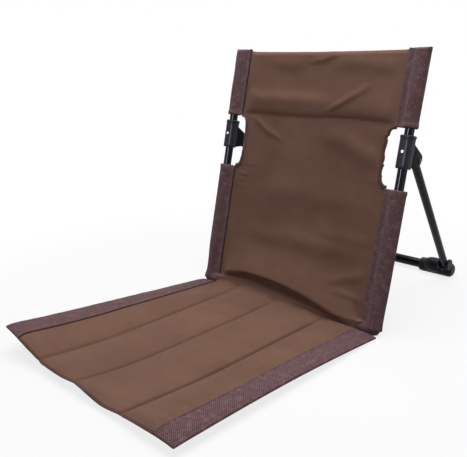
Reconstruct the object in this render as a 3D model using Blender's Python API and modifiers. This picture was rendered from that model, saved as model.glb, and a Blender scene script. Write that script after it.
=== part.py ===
"""Folding ground chair: a padded seat mat, a framed fabric back hinged to it, and a rear prop that folds flat."""

import math

import bmesh
import bpy
from mathutils import Matrix, Vector

# Driving sizes, in metres and radians
WIDTH = 0.480
SEAT_LENGTH = 0.4944
BACK_LENGTH = 0.530
RECLINE = math.radians(13.8)
CLEAR = 0.0003

# Fabric
BAND_WIDTH = 0.046
SLEEVE_WIDTH = 0.0415
CLOTH = 0.0012
SEAT_CROWN = 0.0095
CHANNELS = 4
LEFT_CURL = 0.046
RIGHT_LIFT = 0.015
FRONT_LIFT = 0.008
PANEL_THICK = 0.002
PANEL_SAG = 0.007
PANEL_FOLD = 0.004
LOWER_SLEEVE_LOW = 0.0185
PANEL_FOOT = -0.004
CUT_ABOVE_BRACKET = 0.013
CUT_BELOW_BRACKET = 0.040
CUT_DEPTH = 0.0165
BINDING_R = 0.0016
POCKET_X = 0.0140
POCKET_D = 0.0112
POCKET_CAP = 0.0055

# Tubes
UPRIGHT_D = 0.018
LEG_D = 0.016
BAR_D = 0.022
WALL = 0.0012
UPRIGHT_INSET = 0.014
PLUG_HEAD = 0.003
PLUG_SPIGOT = 0.012

# Brackets, pins and rivets
BRACKET_BELOW_PIN = 0.0196
BRACKET_LENGTH = 0.062
BRACKET_HALF = 0.0130
BRACKET_ROUND = 0.0095
CHEEK = 0.0025
WEB = 0.0034
LEG_PLAY_OUT = 0.0014
LEG_PLAY_IN = 0.0032
FIN_PAST_PIN = 0.009
PIVOT_BEHIND = 0.035
PIVOT_HEIGHT = 0.3306
PIN_R = 0.0025
PIN_HEAD_R = 0.0045
PIN_HEAD = 0.0016
RIVET_R = 0.002
RIVET_HEAD_R = 0.0030
RIVET_HEAD = 0.0015
LEG_PAST_PIN = 0.0045

# Elbows
FRAME_ELBOW_R = 0.0115
FRAME_COLLAR = 0.0130
FOOT_ELBOW_R = 0.0165
FOOT_ELBOW_IN = 0.064
FOOT_ELBOW_OUT = 0.018
FOOT_COLLAR = 0.034
FOOT_X = 0.173
FOOT_REACH = 0.400
COLLAR_WALL = 0.0026
SOLE = 0.0006
BAR_END_GAP = 0.0025

STEPS = 20

# Derived positions
HINGE = Vector((0, (SEAT_LENGTH - FOOT_REACH - FOOT_ELBOW_R) / 2, SEAT_CROWN))
TUBE_DEPTH = BRACKET_HALF
UPRIGHT_X = WIDTH / 2 - UPRIGHT_INSET
BAND_IN = WIDTH / 2 - BAND_WIDTH
SLEEVE_IN = WIDTH / 2 - SLEEVE_WIDTH
PANEL_EDGE = SLEEVE_IN - CLEAR
FRAME_ELBOW_IN = UPRIGHT_X - SLEEVE_IN - 4 * CLEAR
FIN_OUT = LEG_D / 2 + LEG_PLAY_OUT + CHEEK
FIN_IN = LEG_D / 2 + LEG_PLAY_IN + CHEEK
SEAM_TOP = 2 * CLOTH + CLEAR
BRACKET_LOW = PIVOT_HEIGHT - BRACKET_BELOW_PIN
LOWER_SLEEVE_TOP = BRACKET_LOW - CUT_BELOW_BRACKET
UPPER_SLEEVE_LOW = BRACKET_LOW + BRACKET_LENGTH + CUT_ABOVE_BRACKET
UPRIGHT_TOP = BACK_LENGTH - POCKET_CAP - PLUG_HEAD - 4 * CLEAR
BACK_FRAME = Matrix.Translation(HINGE) @ Matrix.Rotation(-RECLINE, 4, "X")
FRAME_BAR_Z = FRAME_ELBOW_R - SOLE
FRAME_BAR_H = (FRAME_BAR_Z - HINGE.z + TUBE_DEPTH * math.sin(RECLINE)) / math.cos(RECLINE)
PIVOT_DEPTH = TUBE_DEPTH + PIVOT_BEHIND
PIVOT = BACK_FRAME @ Vector((0, PIVOT_DEPTH, PIVOT_HEIGHT))
FOOT = Vector((0, HINGE.y + FOOT_REACH, FOOT_ELBOW_R - SOLE))

for old in list(bpy.data.objects):
    bpy.data.objects.remove(old)

chair = bpy.data.collections.new("folding_camping_chair")
cutters = bpy.data.collections.new("cutters")
bpy.context.scene.collection.children.link(chair)
bpy.context.scene.collection.children.link(cutters)


def material(name, colour, roughness, metallic):
    made = bpy.data.materials.new(name)
    made.use_nodes = True
    shader = made.node_tree.nodes["Principled BSDF"]
    shader.inputs["Base Color"].default_value = (*colour, 1)
    shader.inputs["Roughness"].default_value = roughness
    shader.inputs["Metallic"].default_value = metallic
    return made


GLOSS_BLACK = material("gloss_black_tube", (0.012, 0.011, 0.012), 0.22, 0.3)
SATIN_GREY = material("satin_grey_tube", (0.06, 0.055, 0.055), 0.38, 0.5)
PLASTIC = material("charcoal_plastic", (0.035, 0.033, 0.036), 0.55, 0.0)
STEEL = material("rivet_steel", (0.62, 0.60, 0.58), 0.3, 1.0)
BROWN = material("brown_fabric", (0.16, 0.095, 0.065), 0.85, 0.0)
WOVEN = material("woven_band", (0.115, 0.065, 0.08), 0.9, 0.0)
FOAM = material("foam", (0.75, 0.72, 0.66), 0.95, 0.0)


def empty(name, matrix):
    made = bpy.data.objects.new(name, None)
    made.matrix_world = matrix
    chair.objects.link(made)
    return made


# The back turns about this empty's X axis, and the rear prop about the other's
back = empty("back_hinge_axis", BACK_FRAME)
prop = empty("leg_pivot_axis", Matrix.Translation(PIVOT))
UNDER = {None: Matrix.Identity(4), back: BACK_FRAME, prop: Matrix.Translation(PIVOT)}


def place(obj, look, parent=None, matrix=None, cutter=False):
    """Links the object, puts it at a matrix of its parent's frame, and gives it its material."""
    (cutters if cutter else chair).objects.link(obj)
    obj.parent = parent
    obj.matrix_local = matrix or Matrix.Identity(4)
    if cutter:
        obj.hide_render = True
        obj.display_type = "WIRE"
    else:
        obj.data.materials.append(look)
    return obj


def mesh_object(name, build):
    data = bpy.data.meshes.new(name)
    shape = bmesh.new()
    build(shape)
    bmesh.ops.recalc_face_normals(shape, faces=shape.faces)
    shape.to_mesh(data)
    shape.free()
    return bpy.data.objects.new(name, data)


def prism(name, outline, low, high):
    """A flat outline in X and Y, extruded from one Z to another."""

    def build(shape):
        face = shape.faces.new([shape.verts.new((x, y, low)) for x, y in outline])
        grown = bmesh.ops.extrude_face_region(shape, geom=[face])
        raised = [v for v in grown["geom"] if isinstance(v, bmesh.types.BMVert)]
        bmesh.ops.translate(shape, verts=raised, vec=(0, 0, high - low))

    return mesh_object(name, build)


def slab(name, xs, ys, under, over):
    """A grid over xs and ys, extruded from its lower surface to its upper one."""

    def build(shape):
        bmesh.ops.create_grid(shape, x_segments=len(xs) - 1, y_segments=len(ys) - 1, size=0.5)
        for v in shape.verts:
            v.co.x = xs[round((v.co.x + 0.5) * (len(xs) - 1))]
            v.co.y = ys[round((v.co.y + 0.5) * (len(ys) - 1))]
        grown = bmesh.ops.extrude_face_region(shape, geom=shape.faces[:])
        raised = {v for v in grown["geom"] if isinstance(v, bmesh.types.BMVert)}
        for v in shape.verts:
            v.co.z = (over if v in raised else under)(v.co.x, v.co.y)
        bmesh.ops.triangulate(shape, faces=shape.faces[:], quad_method="SHORT_EDGE")

    return mesh_object(name, build)


def lathe(name, profile, steps=STEPS):
    """A profile of (radius, height) pairs, from the top down, turned about Z."""
    data = bpy.data.meshes.new(name)
    points = [(r, 0, z) for r, z in profile]
    data.from_pydata(points, [(i, i + 1) for i in range(len(points) - 1)], [])
    return screwed(name, data, steps)


def screwed(name, data, steps):
    made = bpy.data.objects.new(name, data)
    turn = made.modifiers.new("turn", "SCREW")
    turn.steps = turn.render_steps = steps
    turn.use_merge_vertices = True
    turn.merge_threshold = 0.00001
    return made


def tube(name, length, diameter, steps=STEPS):
    """A hollow tube with open ends, from Z 0 to its length."""
    data = bpy.data.meshes.new(name)
    outer = diameter / 2
    inner = outer - WALL
    points = [(outer, 0, length), (outer, 0, 0), (inner, 0, 0), (inner, 0, length)]
    data.from_pydata(points, [(0, 1), (1, 2), (2, 3), (3, 0)], [])
    return screwed(name, data, steps)


def rod(name, radius, low, high, steps=STEPS):
    return lathe(name, [(0, high), (radius, high), (radius, low), (0, low)], steps)


def boolean(obj, operation, other):
    made = obj.modifiers.new(operation.lower(), "BOOLEAN")
    made.operation = operation
    made.solver = "EXACT"
    made.object = other


def aim(start, direction):
    """A matrix at start whose Z axis lies along direction."""
    turn = Vector((0, 0, 1)).rotation_difference(Vector(direction).normalized())
    return Matrix.Translation(start) @ turn.to_matrix().to_4x4()


def cut(obj, tool, parent, matrix):
    place(tool, None, parent, matrix, cutter=True)
    boolean(obj, "DIFFERENCE", tool)


SIDES = (("left", -1), ("right", 1))

# The seat mat: its covers and foam share one set of columns and rows, so that they nest


def channel_edges():
    return [WIDTH * (i / CHANNELS - 0.5) for i in range(CHANNELS + 1)]


def columns(low, high):
    """The columns between two X values, close together beside the seams."""
    found = {BAND_IN, -BAND_IN}
    edges = channel_edges()
    for first, last in zip(edges, edges[1:]):
        for k in range(7):
            found.add(first + (last - first) * (1 - math.cos(math.pi * k / 6)) / 2)
    inside = sorted(x for x in found if low + 0.001 < x < high - 0.001)
    return [low, *inside, high]


def rows(rear, front):
    """Y of each row, from the front edge back to the hinge."""
    shares = [i * 0.9 / 12 for i in range(13)] + [0.93, 0.955, 0.975, 0.99, 1.0]
    inside = [s for s in shares if rear + 0.004 < s < front - 0.004]
    return [SEAT_BACK - SEAT_RUN * s for s in reversed([rear, *inside, front])]


SEAT_BACK = HINGE.y - CLEAR
SEAT_RUN = SEAT_LENGTH - CLEAR


def lift(x, y):
    """How far the soft mat stands off the ground: its left side curls up, and its right side and front a little."""
    share = (SEAT_BACK - y) / SEAT_RUN
    left = min(1, max(0, -4 * x / WIDTH - 1))
    right = min(1, max(0, 4 * x / WIDTH - 1))
    front = max(0, (share - 0.75) / 0.25) ** 2 * (1.1 - 1.6 * x / WIDTH)
    return LEFT_CURL * share * left + RIGHT_LIFT * math.sin(2.3 * share) * right + FRONT_LIFT * front


def seat_top(x, y):
    """The padded upper surface above the mat's lifted underside."""
    share = (SEAT_BACK - y) / SEAT_RUN
    across = (x / WIDTH + 0.5) * CHANNELS
    part = across - math.floor(across)
    crown = max(0, 1 - (2 * part - 1) ** 2) ** 0.7
    nose = max(0, (share - 0.93) / 0.07)
    return SEAM_TOP + (SEAT_CROWN - SEAM_TOP) * crown * math.sqrt(max(0, 1 - nose * nose))


COVER_EDGE = WIDTH / 2 - CLOTH - CLEAR

place(
    slab(
        "seat_top_cover",
        columns(-COVER_EDGE, COVER_EDGE),
        rows(0, 1),
        lambda x, y: lift(x, y) + seat_top(x, y) - CLOTH,
        lambda x, y: lift(x, y) + seat_top(x, y),
    ),
    BROWN,
)
place(
    slab(
        "seat_bottom_cover",
        columns(CLEAR - BAND_IN, BAND_IN - CLEAR),
        rows(0, 1),
        lift,
        lambda x, y: lift(x, y) + CLOTH,
    ),
    BROWN,
)
for number, first in enumerate(channel_edges()[:-1]):
    strip = sorted(x for x in columns(-WIDTH, WIDTH) if first + 0.004 < x < first + WIDTH / CHANNELS - 0.004)
    place(
        slab(
            f"seat_foam_{number + 1}",
            strip,
            rows(0.02, 0.975),
            lambda x, y: lift(x, y) + CLOTH + CLEAR,
            lambda x, y: lift(x, y) + seat_top(x, y) - CLOTH - CLEAR,
        ),
        FOAM,
    )


def seat_band(name, side):
    """The woven band folded round the edge of the mat, as a C of cloth run from front to back."""
    reach = [x for x in columns(-COVER_EDGE, COVER_EDGE) if x >= BAND_IN - CLEAR]
    wall = WIDTH / 2 - CLOTH
    stations = rows(0, 1)

    def section(y):
        inner = [(x, seat_top(side * x, y) + CLEAR) for x in reach]
        turn = [(wall, inner[-1][1]), (wall, CLOTH), (BAND_IN, CLOTH), (BAND_IN, 0), (WIDTH / 2, 0)]
        outer = [(WIDTH / 2, inner[-1][1] + CLOTH)]
        outer += [(x, z + CLOTH) for x, z in reversed(inner)]
        return [(side * x, y, z + lift(side * x, y)) for x, z in inner + turn + outer]

    def build(shape):
        """A grid rolled into a tube: its columns run round the section and its rows from front to back."""
        rings = [section(y) for y in stations]
        round_count = len(rings[0])
        bmesh.ops.create_grid(shape, x_segments=round_count, y_segments=len(rings) - 1, size=0.5)
        for v in shape.verts:
            corner = round((v.co.x + 0.5) * round_count) % round_count
            v.co = rings[round((v.co.y + 0.5) * (len(rings) - 1))][corner]
        bmesh.ops.remove_doubles(shape, verts=shape.verts, dist=0.00001)
        bmesh.ops.holes_fill(shape, edges=[e for e in shape.edges if e.is_boundary])
        bmesh.ops.triangulate(shape, faces=shape.faces[:], quad_method="SHORT_EDGE")

    return mesh_object(name, build)


for word, side in SIDES:
    place(seat_band(f"seat_band_{word}", side), WOVEN)

# The back's frame: two uprights, a crossbar and two elbows, with plugs in the open ends


def elbow(name, parent, corner, side, post, sizes):
    """A moulded corner: a barrel round the bar's end and a collar round the post, resting on a flat sole."""
    radius, inward, outward, collar, bar_d, post_d = sizes
    dome = outward * 0.45
    arc = [(k * math.pi / 8) for k in range(5)]
    nose = [((radius - dome) + dome * math.sin(a), outward - dome + dome * math.cos(a)) for a in arc]
    body = lathe(name, [(0, outward), *nose, (radius, 0.001 - inward), (radius - 0.001, -inward), (0, -inward)])
    place(body, PLASTIC, parent, aim(corner, (side, 0, 0)))
    rim = post_d / 2 + COLLAR_WALL
    base = max(rim, 0.94 * radius)
    neck = lathe(name + "_neck", [(0, collar), (rim - 0.001, collar), (rim, collar - 0.001), (base, 0), (0, 0)])
    place(neck, None, parent, aim(corner, post), cutter=True)
    boolean(body, "UNION", neck)
    end = post_d / 2 + CLEAR + BAR_END_GAP
    bar_hole = rod(name + "_bar_hole", bar_d / 2 + CLEAR, -inward - 0.01, -end)
    cut(body, bar_hole, parent, aim(corner, (side, 0, 0)))
    cut(body, rod(name + "_post_hole", post_d / 2 + CLEAR, -CLEAR, collar + 0.01), parent, aim(corner, post))
    ground = prism(name + "_ground", [(-0.1, -0.1), (0.1, -0.1), (0.1, 0.1), (-0.1, 0.1)], -0.05, 0)
    spot = (UNDER[parent] @ Vector(corner)).xy.to_3d()
    cut(body, ground, None, Matrix.Translation(spot))
    return body


FRAME_ELBOW = (FRAME_ELBOW_R, FRAME_ELBOW_IN, FRAME_ELBOW_R, FRAME_COLLAR, UPRIGHT_D, UPRIGHT_D)
for word, side in SIDES:
    foot = Vector((side * UPRIGHT_X, TUBE_DEPTH, FRAME_BAR_H))
    upright = tube(f"upright_{word}", UPRIGHT_TOP - FRAME_BAR_H, UPRIGHT_D)
    place(upright, GLOSS_BLACK, back, Matrix.Translation(foot))
    rivet_at = Vector((side * UPRIGHT_X, TUBE_DEPTH - BRACKET_HALF, BRACKET_LOW + BRACKET_LENGTH / 2))
    hole = rod(f"upright_{word}_rivet_hole", RIVET_R + CLEAR, -BRACKET_HALF, 0.01, 12)
    cut(upright, hole, back, aim(rivet_at, (0, -1, 0)))
    elbow(f"frame_elbow_{word}", back, foot, side, (0, 0, 1), FRAME_ELBOW)
    head = UPRIGHT_D / 2
    spigot = head - WALL - CLEAR
    plug_profile = [
        (0, PLUG_HEAD),
        (head - 0.002, PLUG_HEAD),
        (head, PLUG_HEAD - 0.002),
        (head, 0),
        (spigot, 0),
        (spigot, -PLUG_SPIGOT),
        (0, -PLUG_SPIGOT),
    ]
    top = Vector((side * UPRIGHT_X, TUBE_DEPTH, UPRIGHT_TOP + CLEAR))
    place(lathe(f"upright_plug_{word}", plug_profile), PLASTIC, back, Matrix.Translation(top))

frame_bar_end = UPRIGHT_X - UPRIGHT_D / 2 - 2 * CLEAR - BAR_END_GAP
place(
    tube("frame_crossbar", 2 * frame_bar_end, UPRIGHT_D),
    GLOSS_BLACK,
    back,
    aim((-frame_bar_end, TUBE_DEPTH, FRAME_BAR_H), (1, 0, 0)),
)

# The brackets: a sleeve round the upright with a slotted fin behind it, a rivet and a pivot pin

YZ_TO_XY = Matrix(((0, 0, 1, 0), (1, 0, 0, 0), (0, 1, 0, 0), (0, 0, 0, 1)))


def bracket(name, side):
    x = side * UPRIGHT_X
    low = BRACKET_LOW
    high = low + BRACKET_LENGTH
    middle = Vector((x, TUBE_DEPTH, (low + high) / 2))

    def build(shape):
        bmesh.ops.create_cube(shape, size=1)
        size = (2 * BRACKET_HALF, 2 * BRACKET_HALF, BRACKET_LENGTH)
        bmesh.ops.scale(shape, vec=size, verts=shape.verts)
        upright_edges = [e for e in shape.edges if abs(e.verts[0].co.z - e.verts[1].co.z) > 0.01]
        bmesh.ops.bevel(shape, geom=upright_edges, offset=BRACKET_ROUND, segments=4, profile=0.5, affect="EDGES")
        ends = [f for f in shape.faces if abs(f.normal.z) > 0.9]
        rims = list({e for f in ends for e in f.edges})
        bmesh.ops.bevel(shape, geom=rims, offset=0.0015, segments=2, profile=0.5, affect="EDGES")

    body = mesh_object(name, build)
    place(body, PLASTIC, back, Matrix.Translation(middle))
    rear = TUBE_DEPTH + BRACKET_HALF
    tip = PIVOT_DEPTH + FIN_PAST_PIN
    crest = PIVOT_HEIGHT + 0.011
    start = high - 0.014
    outline = [
        (rear - 0.006, low + 0.0025),
        (PIVOT_DEPTH - 0.004, low + 0.007),
        (tip - 0.003, PIVOT_HEIGHT - 0.006),
        (tip, PIVOT_HEIGHT + 0.001),
        (tip, PIVOT_HEIGHT + 0.0075),
        (tip - 0.002, crest),
        (rear - 0.006, start),
    ]
    near, far = sorted((side * FIN_OUT, -side * FIN_IN))
    fin = prism(name + "_fin", outline, near, far)
    place(fin, None, back, Matrix.Translation((x, 0, 0)) @ YZ_TO_XY, cutter=True)
    boolean(body, "UNION", fin)
    slot_outline = [
        (rear + 0.001, low - 0.01),
        (tip + 0.01, low - 0.01),
        (tip + 0.01, crest - WEB - 0.006),
        (tip - 0.002, crest - WEB),
        (rear + 0.001, start - WEB - 0.0035),
    ]
    slot = prism(name + "_slot", slot_outline, near + CHEEK, far - CHEEK)
    cut(body, slot, back, Matrix.Translation((x, 0, 0)) @ YZ_TO_XY)
    bore = rod(name + "_bore", UPRIGHT_D / 2 + CLEAR, low - 0.01, high + 0.01)
    cut(body, bore, back, Matrix.Translation((x, TUBE_DEPTH, 0)))
    pin_hole = rod(name + "_pin_hole", PIN_R + CLEAR, -0.03, 0.03, 12)
    cut(body, pin_hole, back, aim((x, PIVOT_DEPTH, PIVOT_HEIGHT), (1, 0, 0)))
    rivet_hole = rod(name + "_rivet_hole", RIVET_R + CLEAR, -BRACKET_HALF, 0.01, 12)
    cut(body, rivet_hole, back, aim((x, 0, middle.z), (0, -1, 0)))
    return body


for word, side in SIDES:
    x = side * UPRIGHT_X
    bracket(f"leg_bracket_{word}", side)
    dome = [(0, RIVET_HEAD), (0.6 * RIVET_HEAD_R, 0.8 * RIVET_HEAD), (RIVET_HEAD_R, 0.25 * RIVET_HEAD)]
    dome += [(RIVET_HEAD_R, 0), (RIVET_R, 0), (RIVET_R, -BRACKET_HALF + 0.002), (0, -BRACKET_HALF + 0.002)]
    rivet = lathe(f"bracket_rivet_{word}", dome, 12)
    rivet_at = (x, -CLEAR, BRACKET_LOW + BRACKET_LENGTH / 2)
    place(rivet, STEEL, back, aim(rivet_at, (0, -1, 0)))
    grip = (FIN_OUT + FIN_IN) / 2 + CLEAR
    ends = [(0, grip + PIN_HEAD), (0.7 * PIN_HEAD_R, grip + PIN_HEAD), (PIN_HEAD_R, grip + 0.5 * PIN_HEAD)]
    ends += [(PIN_HEAD_R, grip), (PIN_R, grip)]
    pin = lathe(f"pivot_pin_{word}", ends + [(r, -z) for r, z in reversed(ends)], 12)
    pin_x = x + side * (FIN_OUT - FIN_IN) / 2
    place(pin, STEEL, back, aim((pin_x, PIVOT_DEPTH, PIVOT_HEIGHT), (1, 0, 0)))

# The rear prop: two legs that lean in to a crossbar, held by two elbows that stand on the ground

FOOT_ELBOW = (FOOT_ELBOW_R, FOOT_ELBOW_IN, FOOT_ELBOW_OUT, FOOT_COLLAR, BAR_D, LEG_D)
for word, side in SIDES:
    foot = Vector((side * FOOT_X, FOOT.y - PIVOT.y, FOOT.z - PIVOT.z))
    hub = Vector((side * UPRIGHT_X, 0, 0))
    along = (hub - foot).normalized()
    leg = tube(f"leg_tube_{word}", (hub - foot).length + LEG_PAST_PIN, LEG_D)
    place(leg, SATIN_GREY, prop, aim(foot, along))
    cut(leg, rod(f"leg_{word}_pin_hole", PIN_R + CLEAR, -0.03, 0.03, 12), prop, aim(hub, (1, 0, 0)))
    elbow(f"foot_elbow_{word}", prop, foot, side, along, FOOT_ELBOW)

bar_end = FOOT_X - LEG_D / 2 - 2 * CLEAR - BAR_END_GAP
place(
    tube("rear_crossbar", 2 * bar_end, BAR_D),
    GLOSS_BLACK,
    prop,
    aim((-bar_end, FOOT.y - PIVOT.y, FOOT.z - PIVOT.z), (1, 0, 0)),
)

# The back's fabric: a sagging panel with a cut-out in each side, four sleeves and two bound edges


def edge_of(height):
    """Half the panel's width at a height: its foot clears the seat's bands, and it draws in along the cut-outs."""
    if height < LOWER_SLEEVE_LOW:
        return BAND_IN - CLEAR
    share = (height - LOWER_SLEEVE_TOP) / (UPPER_SLEEVE_LOW - LOWER_SLEEVE_TOP)
    if not 0 < share < 1:
        return PANEL_EDGE
    return PANEL_EDGE - CUT_DEPTH * math.sqrt(math.sin(math.pi * share))


def panel_depth(across, height):
    """Depth of the panel's middle surface behind the hinge line; across runs from -1 to 1."""
    foot = PANEL_THICK / 2 + CLEAR / 2
    if height < 0:
        return foot - height * math.tan(RECLINE)
    above = max(0, height - FRAME_BAR_H - UPRIGHT_D / 2)
    plane = foot + (TUBE_DEPTH - foot) * math.sin(min(1, above / 0.06) * math.pi / 2)
    body = math.sqrt(math.sin(math.pi * min(1, above / BACK_LENGTH)))
    fold = math.exp(-(((height - UPPER_SLEEVE_LOW) / 0.016) ** 2))
    return plane + (PANEL_SAG * body + PANEL_FOLD * fold) * (1 - across * across)


def panel_rows():
    bottom = [PANEL_FOOT] + [LOWER_SLEEVE_TOP * share for share in (0, 0.03, 0.06)]
    bottom += [LOWER_SLEEVE_TOP * i / 11 for i in range(1, 11)]
    middle = [LOWER_SLEEVE_TOP + (UPPER_SLEEVE_LOW - LOWER_SLEEVE_TOP) * i / 12 for i in range(12)]
    top = [UPPER_SLEEVE_LOW + (BACK_LENGTH - 0.004 - UPPER_SLEEVE_LOW) * i / 8 for i in range(9)]
    return bottom + middle + top


heights = panel_rows()


def build_panel(shape):
    across = 16
    bmesh.ops.create_grid(shape, x_segments=across, y_segments=len(heights) - 1, size=0.5)
    for v in shape.verts:
        height = heights[round((v.co.y + 0.5) * (len(heights) - 1))]
        share = 2 * v.co.x
        v.co = (share * edge_of(height), panel_depth(share, height), height)


panel = mesh_object("back_panel", build_panel)
place(panel, BROWN, back)
skin = panel.modifiers.new("cloth", "SOLIDIFY")
skin.thickness = PANEL_THICK
skin.offset = 0


def sleeve(name, side, low, high, closed):
    """A woven band round the upright: a flat strip beside the panel and a loose pocket, closed at the top if asked."""
    turns = [math.radians(150 - 20 * k) for k in range(16)]
    outline = [(SLEEVE_IN, TUBE_DEPTH + 0.0016)]
    outline += [(UPRIGHT_X + POCKET_X * math.cos(a), TUBE_DEPTH + POCKET_D * math.sin(a)) for a in turns]
    outline += [(SLEEVE_IN, TUBE_DEPTH - 0.0016)]
    body = prism(name, [(side * x, d) for x, d in outline], low, high)
    place(body, WOVEN, back)
    ring = [2 * math.pi * k / 18 for k in range(18)]
    inside = [
        (UPRIGHT_X + (POCKET_X - CLOTH) * math.cos(a), TUBE_DEPTH + (POCKET_D - CLOTH) * math.sin(a)) for a in ring
    ]
    end = high - POCKET_CAP if closed else high + 0.01
    hollow = prism(name + "_hollow", [(side * x, d) for x, d in inside], low - 0.01, end)
    cut(body, hollow, back, Matrix.Identity(4))


def binding(name, side):
    """The tape along a cut-out's edge, as a thin rod beside the panel."""
    data = bpy.data.curves.new(name, "CURVE")
    data.dimensions = "3D"
    line = data.splines.new("POLY")
    run = [h for h in heights if LOWER_SLEEVE_TOP + 0.004 < h < UPPER_SLEEVE_LOW - 0.004]
    line.points.add(len(run) - 1)
    for point, height in zip(line.points, run):
        x = side * (edge_of(height) + BINDING_R + 2 * CLEAR)
        point.co = (x, panel_depth(1, height), height, 1)
    data.bevel_depth = BINDING_R
    data.bevel_resolution = 2
    data.use_fill_caps = True
    return bpy.data.objects.new(name, data)


for word, side in SIDES:
    sleeve(f"lower_sleeve_{word}", side, LOWER_SLEEVE_LOW, LOWER_SLEEVE_TOP, False)
    sleeve(f"upper_sleeve_{word}", side, UPPER_SLEEVE_LOW, BACK_LENGTH, True)
    place(binding(f"cutout_binding_{word}", side), WOVEN, back)
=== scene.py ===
"""Looks of a folding ground chair: cloth, seams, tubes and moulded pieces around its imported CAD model."""

import math

import bmesh
import bpy
import numpy as np
from mathutils import Matrix, Vector, noise


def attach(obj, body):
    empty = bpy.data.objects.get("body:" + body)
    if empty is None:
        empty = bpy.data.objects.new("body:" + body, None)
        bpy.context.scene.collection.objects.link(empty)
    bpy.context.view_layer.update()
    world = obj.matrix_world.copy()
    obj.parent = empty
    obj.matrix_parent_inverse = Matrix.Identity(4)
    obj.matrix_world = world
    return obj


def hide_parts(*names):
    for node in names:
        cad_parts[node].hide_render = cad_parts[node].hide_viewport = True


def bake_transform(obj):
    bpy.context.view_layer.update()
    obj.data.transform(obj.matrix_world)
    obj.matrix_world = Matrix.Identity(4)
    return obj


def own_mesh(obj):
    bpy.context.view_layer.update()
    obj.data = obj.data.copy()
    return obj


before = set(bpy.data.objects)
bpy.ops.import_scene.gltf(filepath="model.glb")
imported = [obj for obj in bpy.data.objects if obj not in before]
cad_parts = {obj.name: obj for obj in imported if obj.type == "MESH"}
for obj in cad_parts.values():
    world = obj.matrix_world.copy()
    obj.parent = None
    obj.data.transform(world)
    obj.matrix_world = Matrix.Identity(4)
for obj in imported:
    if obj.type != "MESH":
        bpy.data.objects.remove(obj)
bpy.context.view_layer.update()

# Sizes repeated from the part's source, in metres and radians
WIDTH = 0.480
SEAT_LENGTH = 0.4944
BACK_LENGTH = 0.530
RECLINE = math.radians(13.8)
CLEAR = 0.0003
BAND_WIDTH = 0.046
SLEEVE_WIDTH = 0.0415
CLOTH = 0.0012
SEAT_CROWN = 0.0095
CHANNELS = 4
LEFT_CURL = 0.046
RIGHT_LIFT = 0.015
FRONT_LIFT = 0.008
PANEL_THICK = 0.002
PANEL_SAG = 0.007
CUT_DEPTH = 0.0165
POCKET_X = 0.0140
POCKET_D = 0.0112
UPRIGHT_D = 0.018
LEG_D = 0.016
BAR_D = 0.022
UPRIGHT_INSET = 0.014
PLUG_HEAD = 0.003
POCKET_CAP = 0.0055
BRACKET_LENGTH = 0.062
BRACKET_HALF = 0.0130
BRACKET_ROUND = 0.0095
CHEEK = 0.0025
WEB = 0.0034
LEG_PLAY_OUT = 0.0014
LEG_PLAY_IN = 0.0032
FIN_PAST_PIN = 0.009
PIVOT_BEHIND = 0.035
PIVOT_HEIGHT = 0.3306
PIN_R = 0.0025
PIN_HEAD_R = 0.0045
PIN_HEAD = 0.0016
RIVET_HEAD_R = 0.0030
RIVET_HEAD = 0.0015
LEG_PAST_PIN = 0.0045
FRAME_ELBOW_R = 0.0115
FRAME_COLLAR = 0.0130
FOOT_ELBOW_R = 0.0165
FOOT_ELBOW_IN = 0.064
FOOT_ELBOW_OUT = 0.018
FOOT_X = 0.173
FOOT_REACH = 0.400
SOLE = 0.0006
BAR_END_GAP = 0.0025
BRACKET_LOW = PIVOT_HEIGHT - 0.0196
LOWER_SLEEVE_TOP = BRACKET_LOW - 0.040
UPPER_SLEEVE_LOW = BRACKET_LOW + BRACKET_LENGTH + 0.013
CUT_LOW = LOWER_SLEEVE_TOP + 0.004
CUT_HIGH = UPPER_SLEEVE_LOW - 0.002
CUT_MIDDLE = (CUT_LOW + CUT_HIGH) / 2
CUT_HALF = (CUT_HIGH - CUT_LOW) / 2
CUT_SQUARE = 3.2
STEP_HEIGHT = UPPER_SLEEVE_LOW + 0.007
SLEEVE_FOOT = 0.0030
STEP_PROUD = 0.0064
BAR_CLEAR = UPRIGHT_D / 2 + 0.0026

# Places derived from them, as in the source
HINGE = Vector((0, (SEAT_LENGTH - FOOT_REACH - FOOT_ELBOW_R) / 2, SEAT_CROWN))
TUBE_DEPTH = BRACKET_HALF
UPRIGHT_X = WIDTH / 2 - UPRIGHT_INSET
BAND_IN = WIDTH / 2 - BAND_WIDTH
SLEEVE_IN = WIDTH / 2 - SLEEVE_WIDTH
PANEL_EDGE = SLEEVE_IN - CLEAR
FRAME_ELBOW_IN = UPRIGHT_X - SLEEVE_IN - 4 * CLEAR
FIN_OUT = LEG_D / 2 + LEG_PLAY_OUT + CHEEK
FIN_IN = LEG_D / 2 + LEG_PLAY_IN + CHEEK
SEAM_TOP = 2 * CLOTH + CLEAR
UPRIGHT_TOP = BACK_LENGTH - POCKET_CAP - PLUG_HEAD - 4 * CLEAR
BACK_FRAME = Matrix.Translation(HINGE) @ Matrix.Rotation(-RECLINE, 4, "X")
BACK_TURN = BACK_FRAME.to_3x3()
FRAME_BAR_Z = FRAME_ELBOW_R - SOLE
FRAME_BAR_H = (FRAME_BAR_Z - HINGE.z + TUBE_DEPTH * math.sin(RECLINE)) / math.cos(RECLINE)
PIVOT_DEPTH = TUBE_DEPTH + PIVOT_BEHIND
PIVOT = BACK_FRAME @ Vector((0, PIVOT_DEPTH, PIVOT_HEIGHT))
FOOT = Vector((0, HINGE.y + FOOT_REACH, FOOT_ELBOW_R - SOLE))
SEAT_BACK = HINGE.y - CLEAR
SEAT_RUN = SEAT_LENGTH - CLEAR
SIDES = (("left", -1), ("right", 1))

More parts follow.
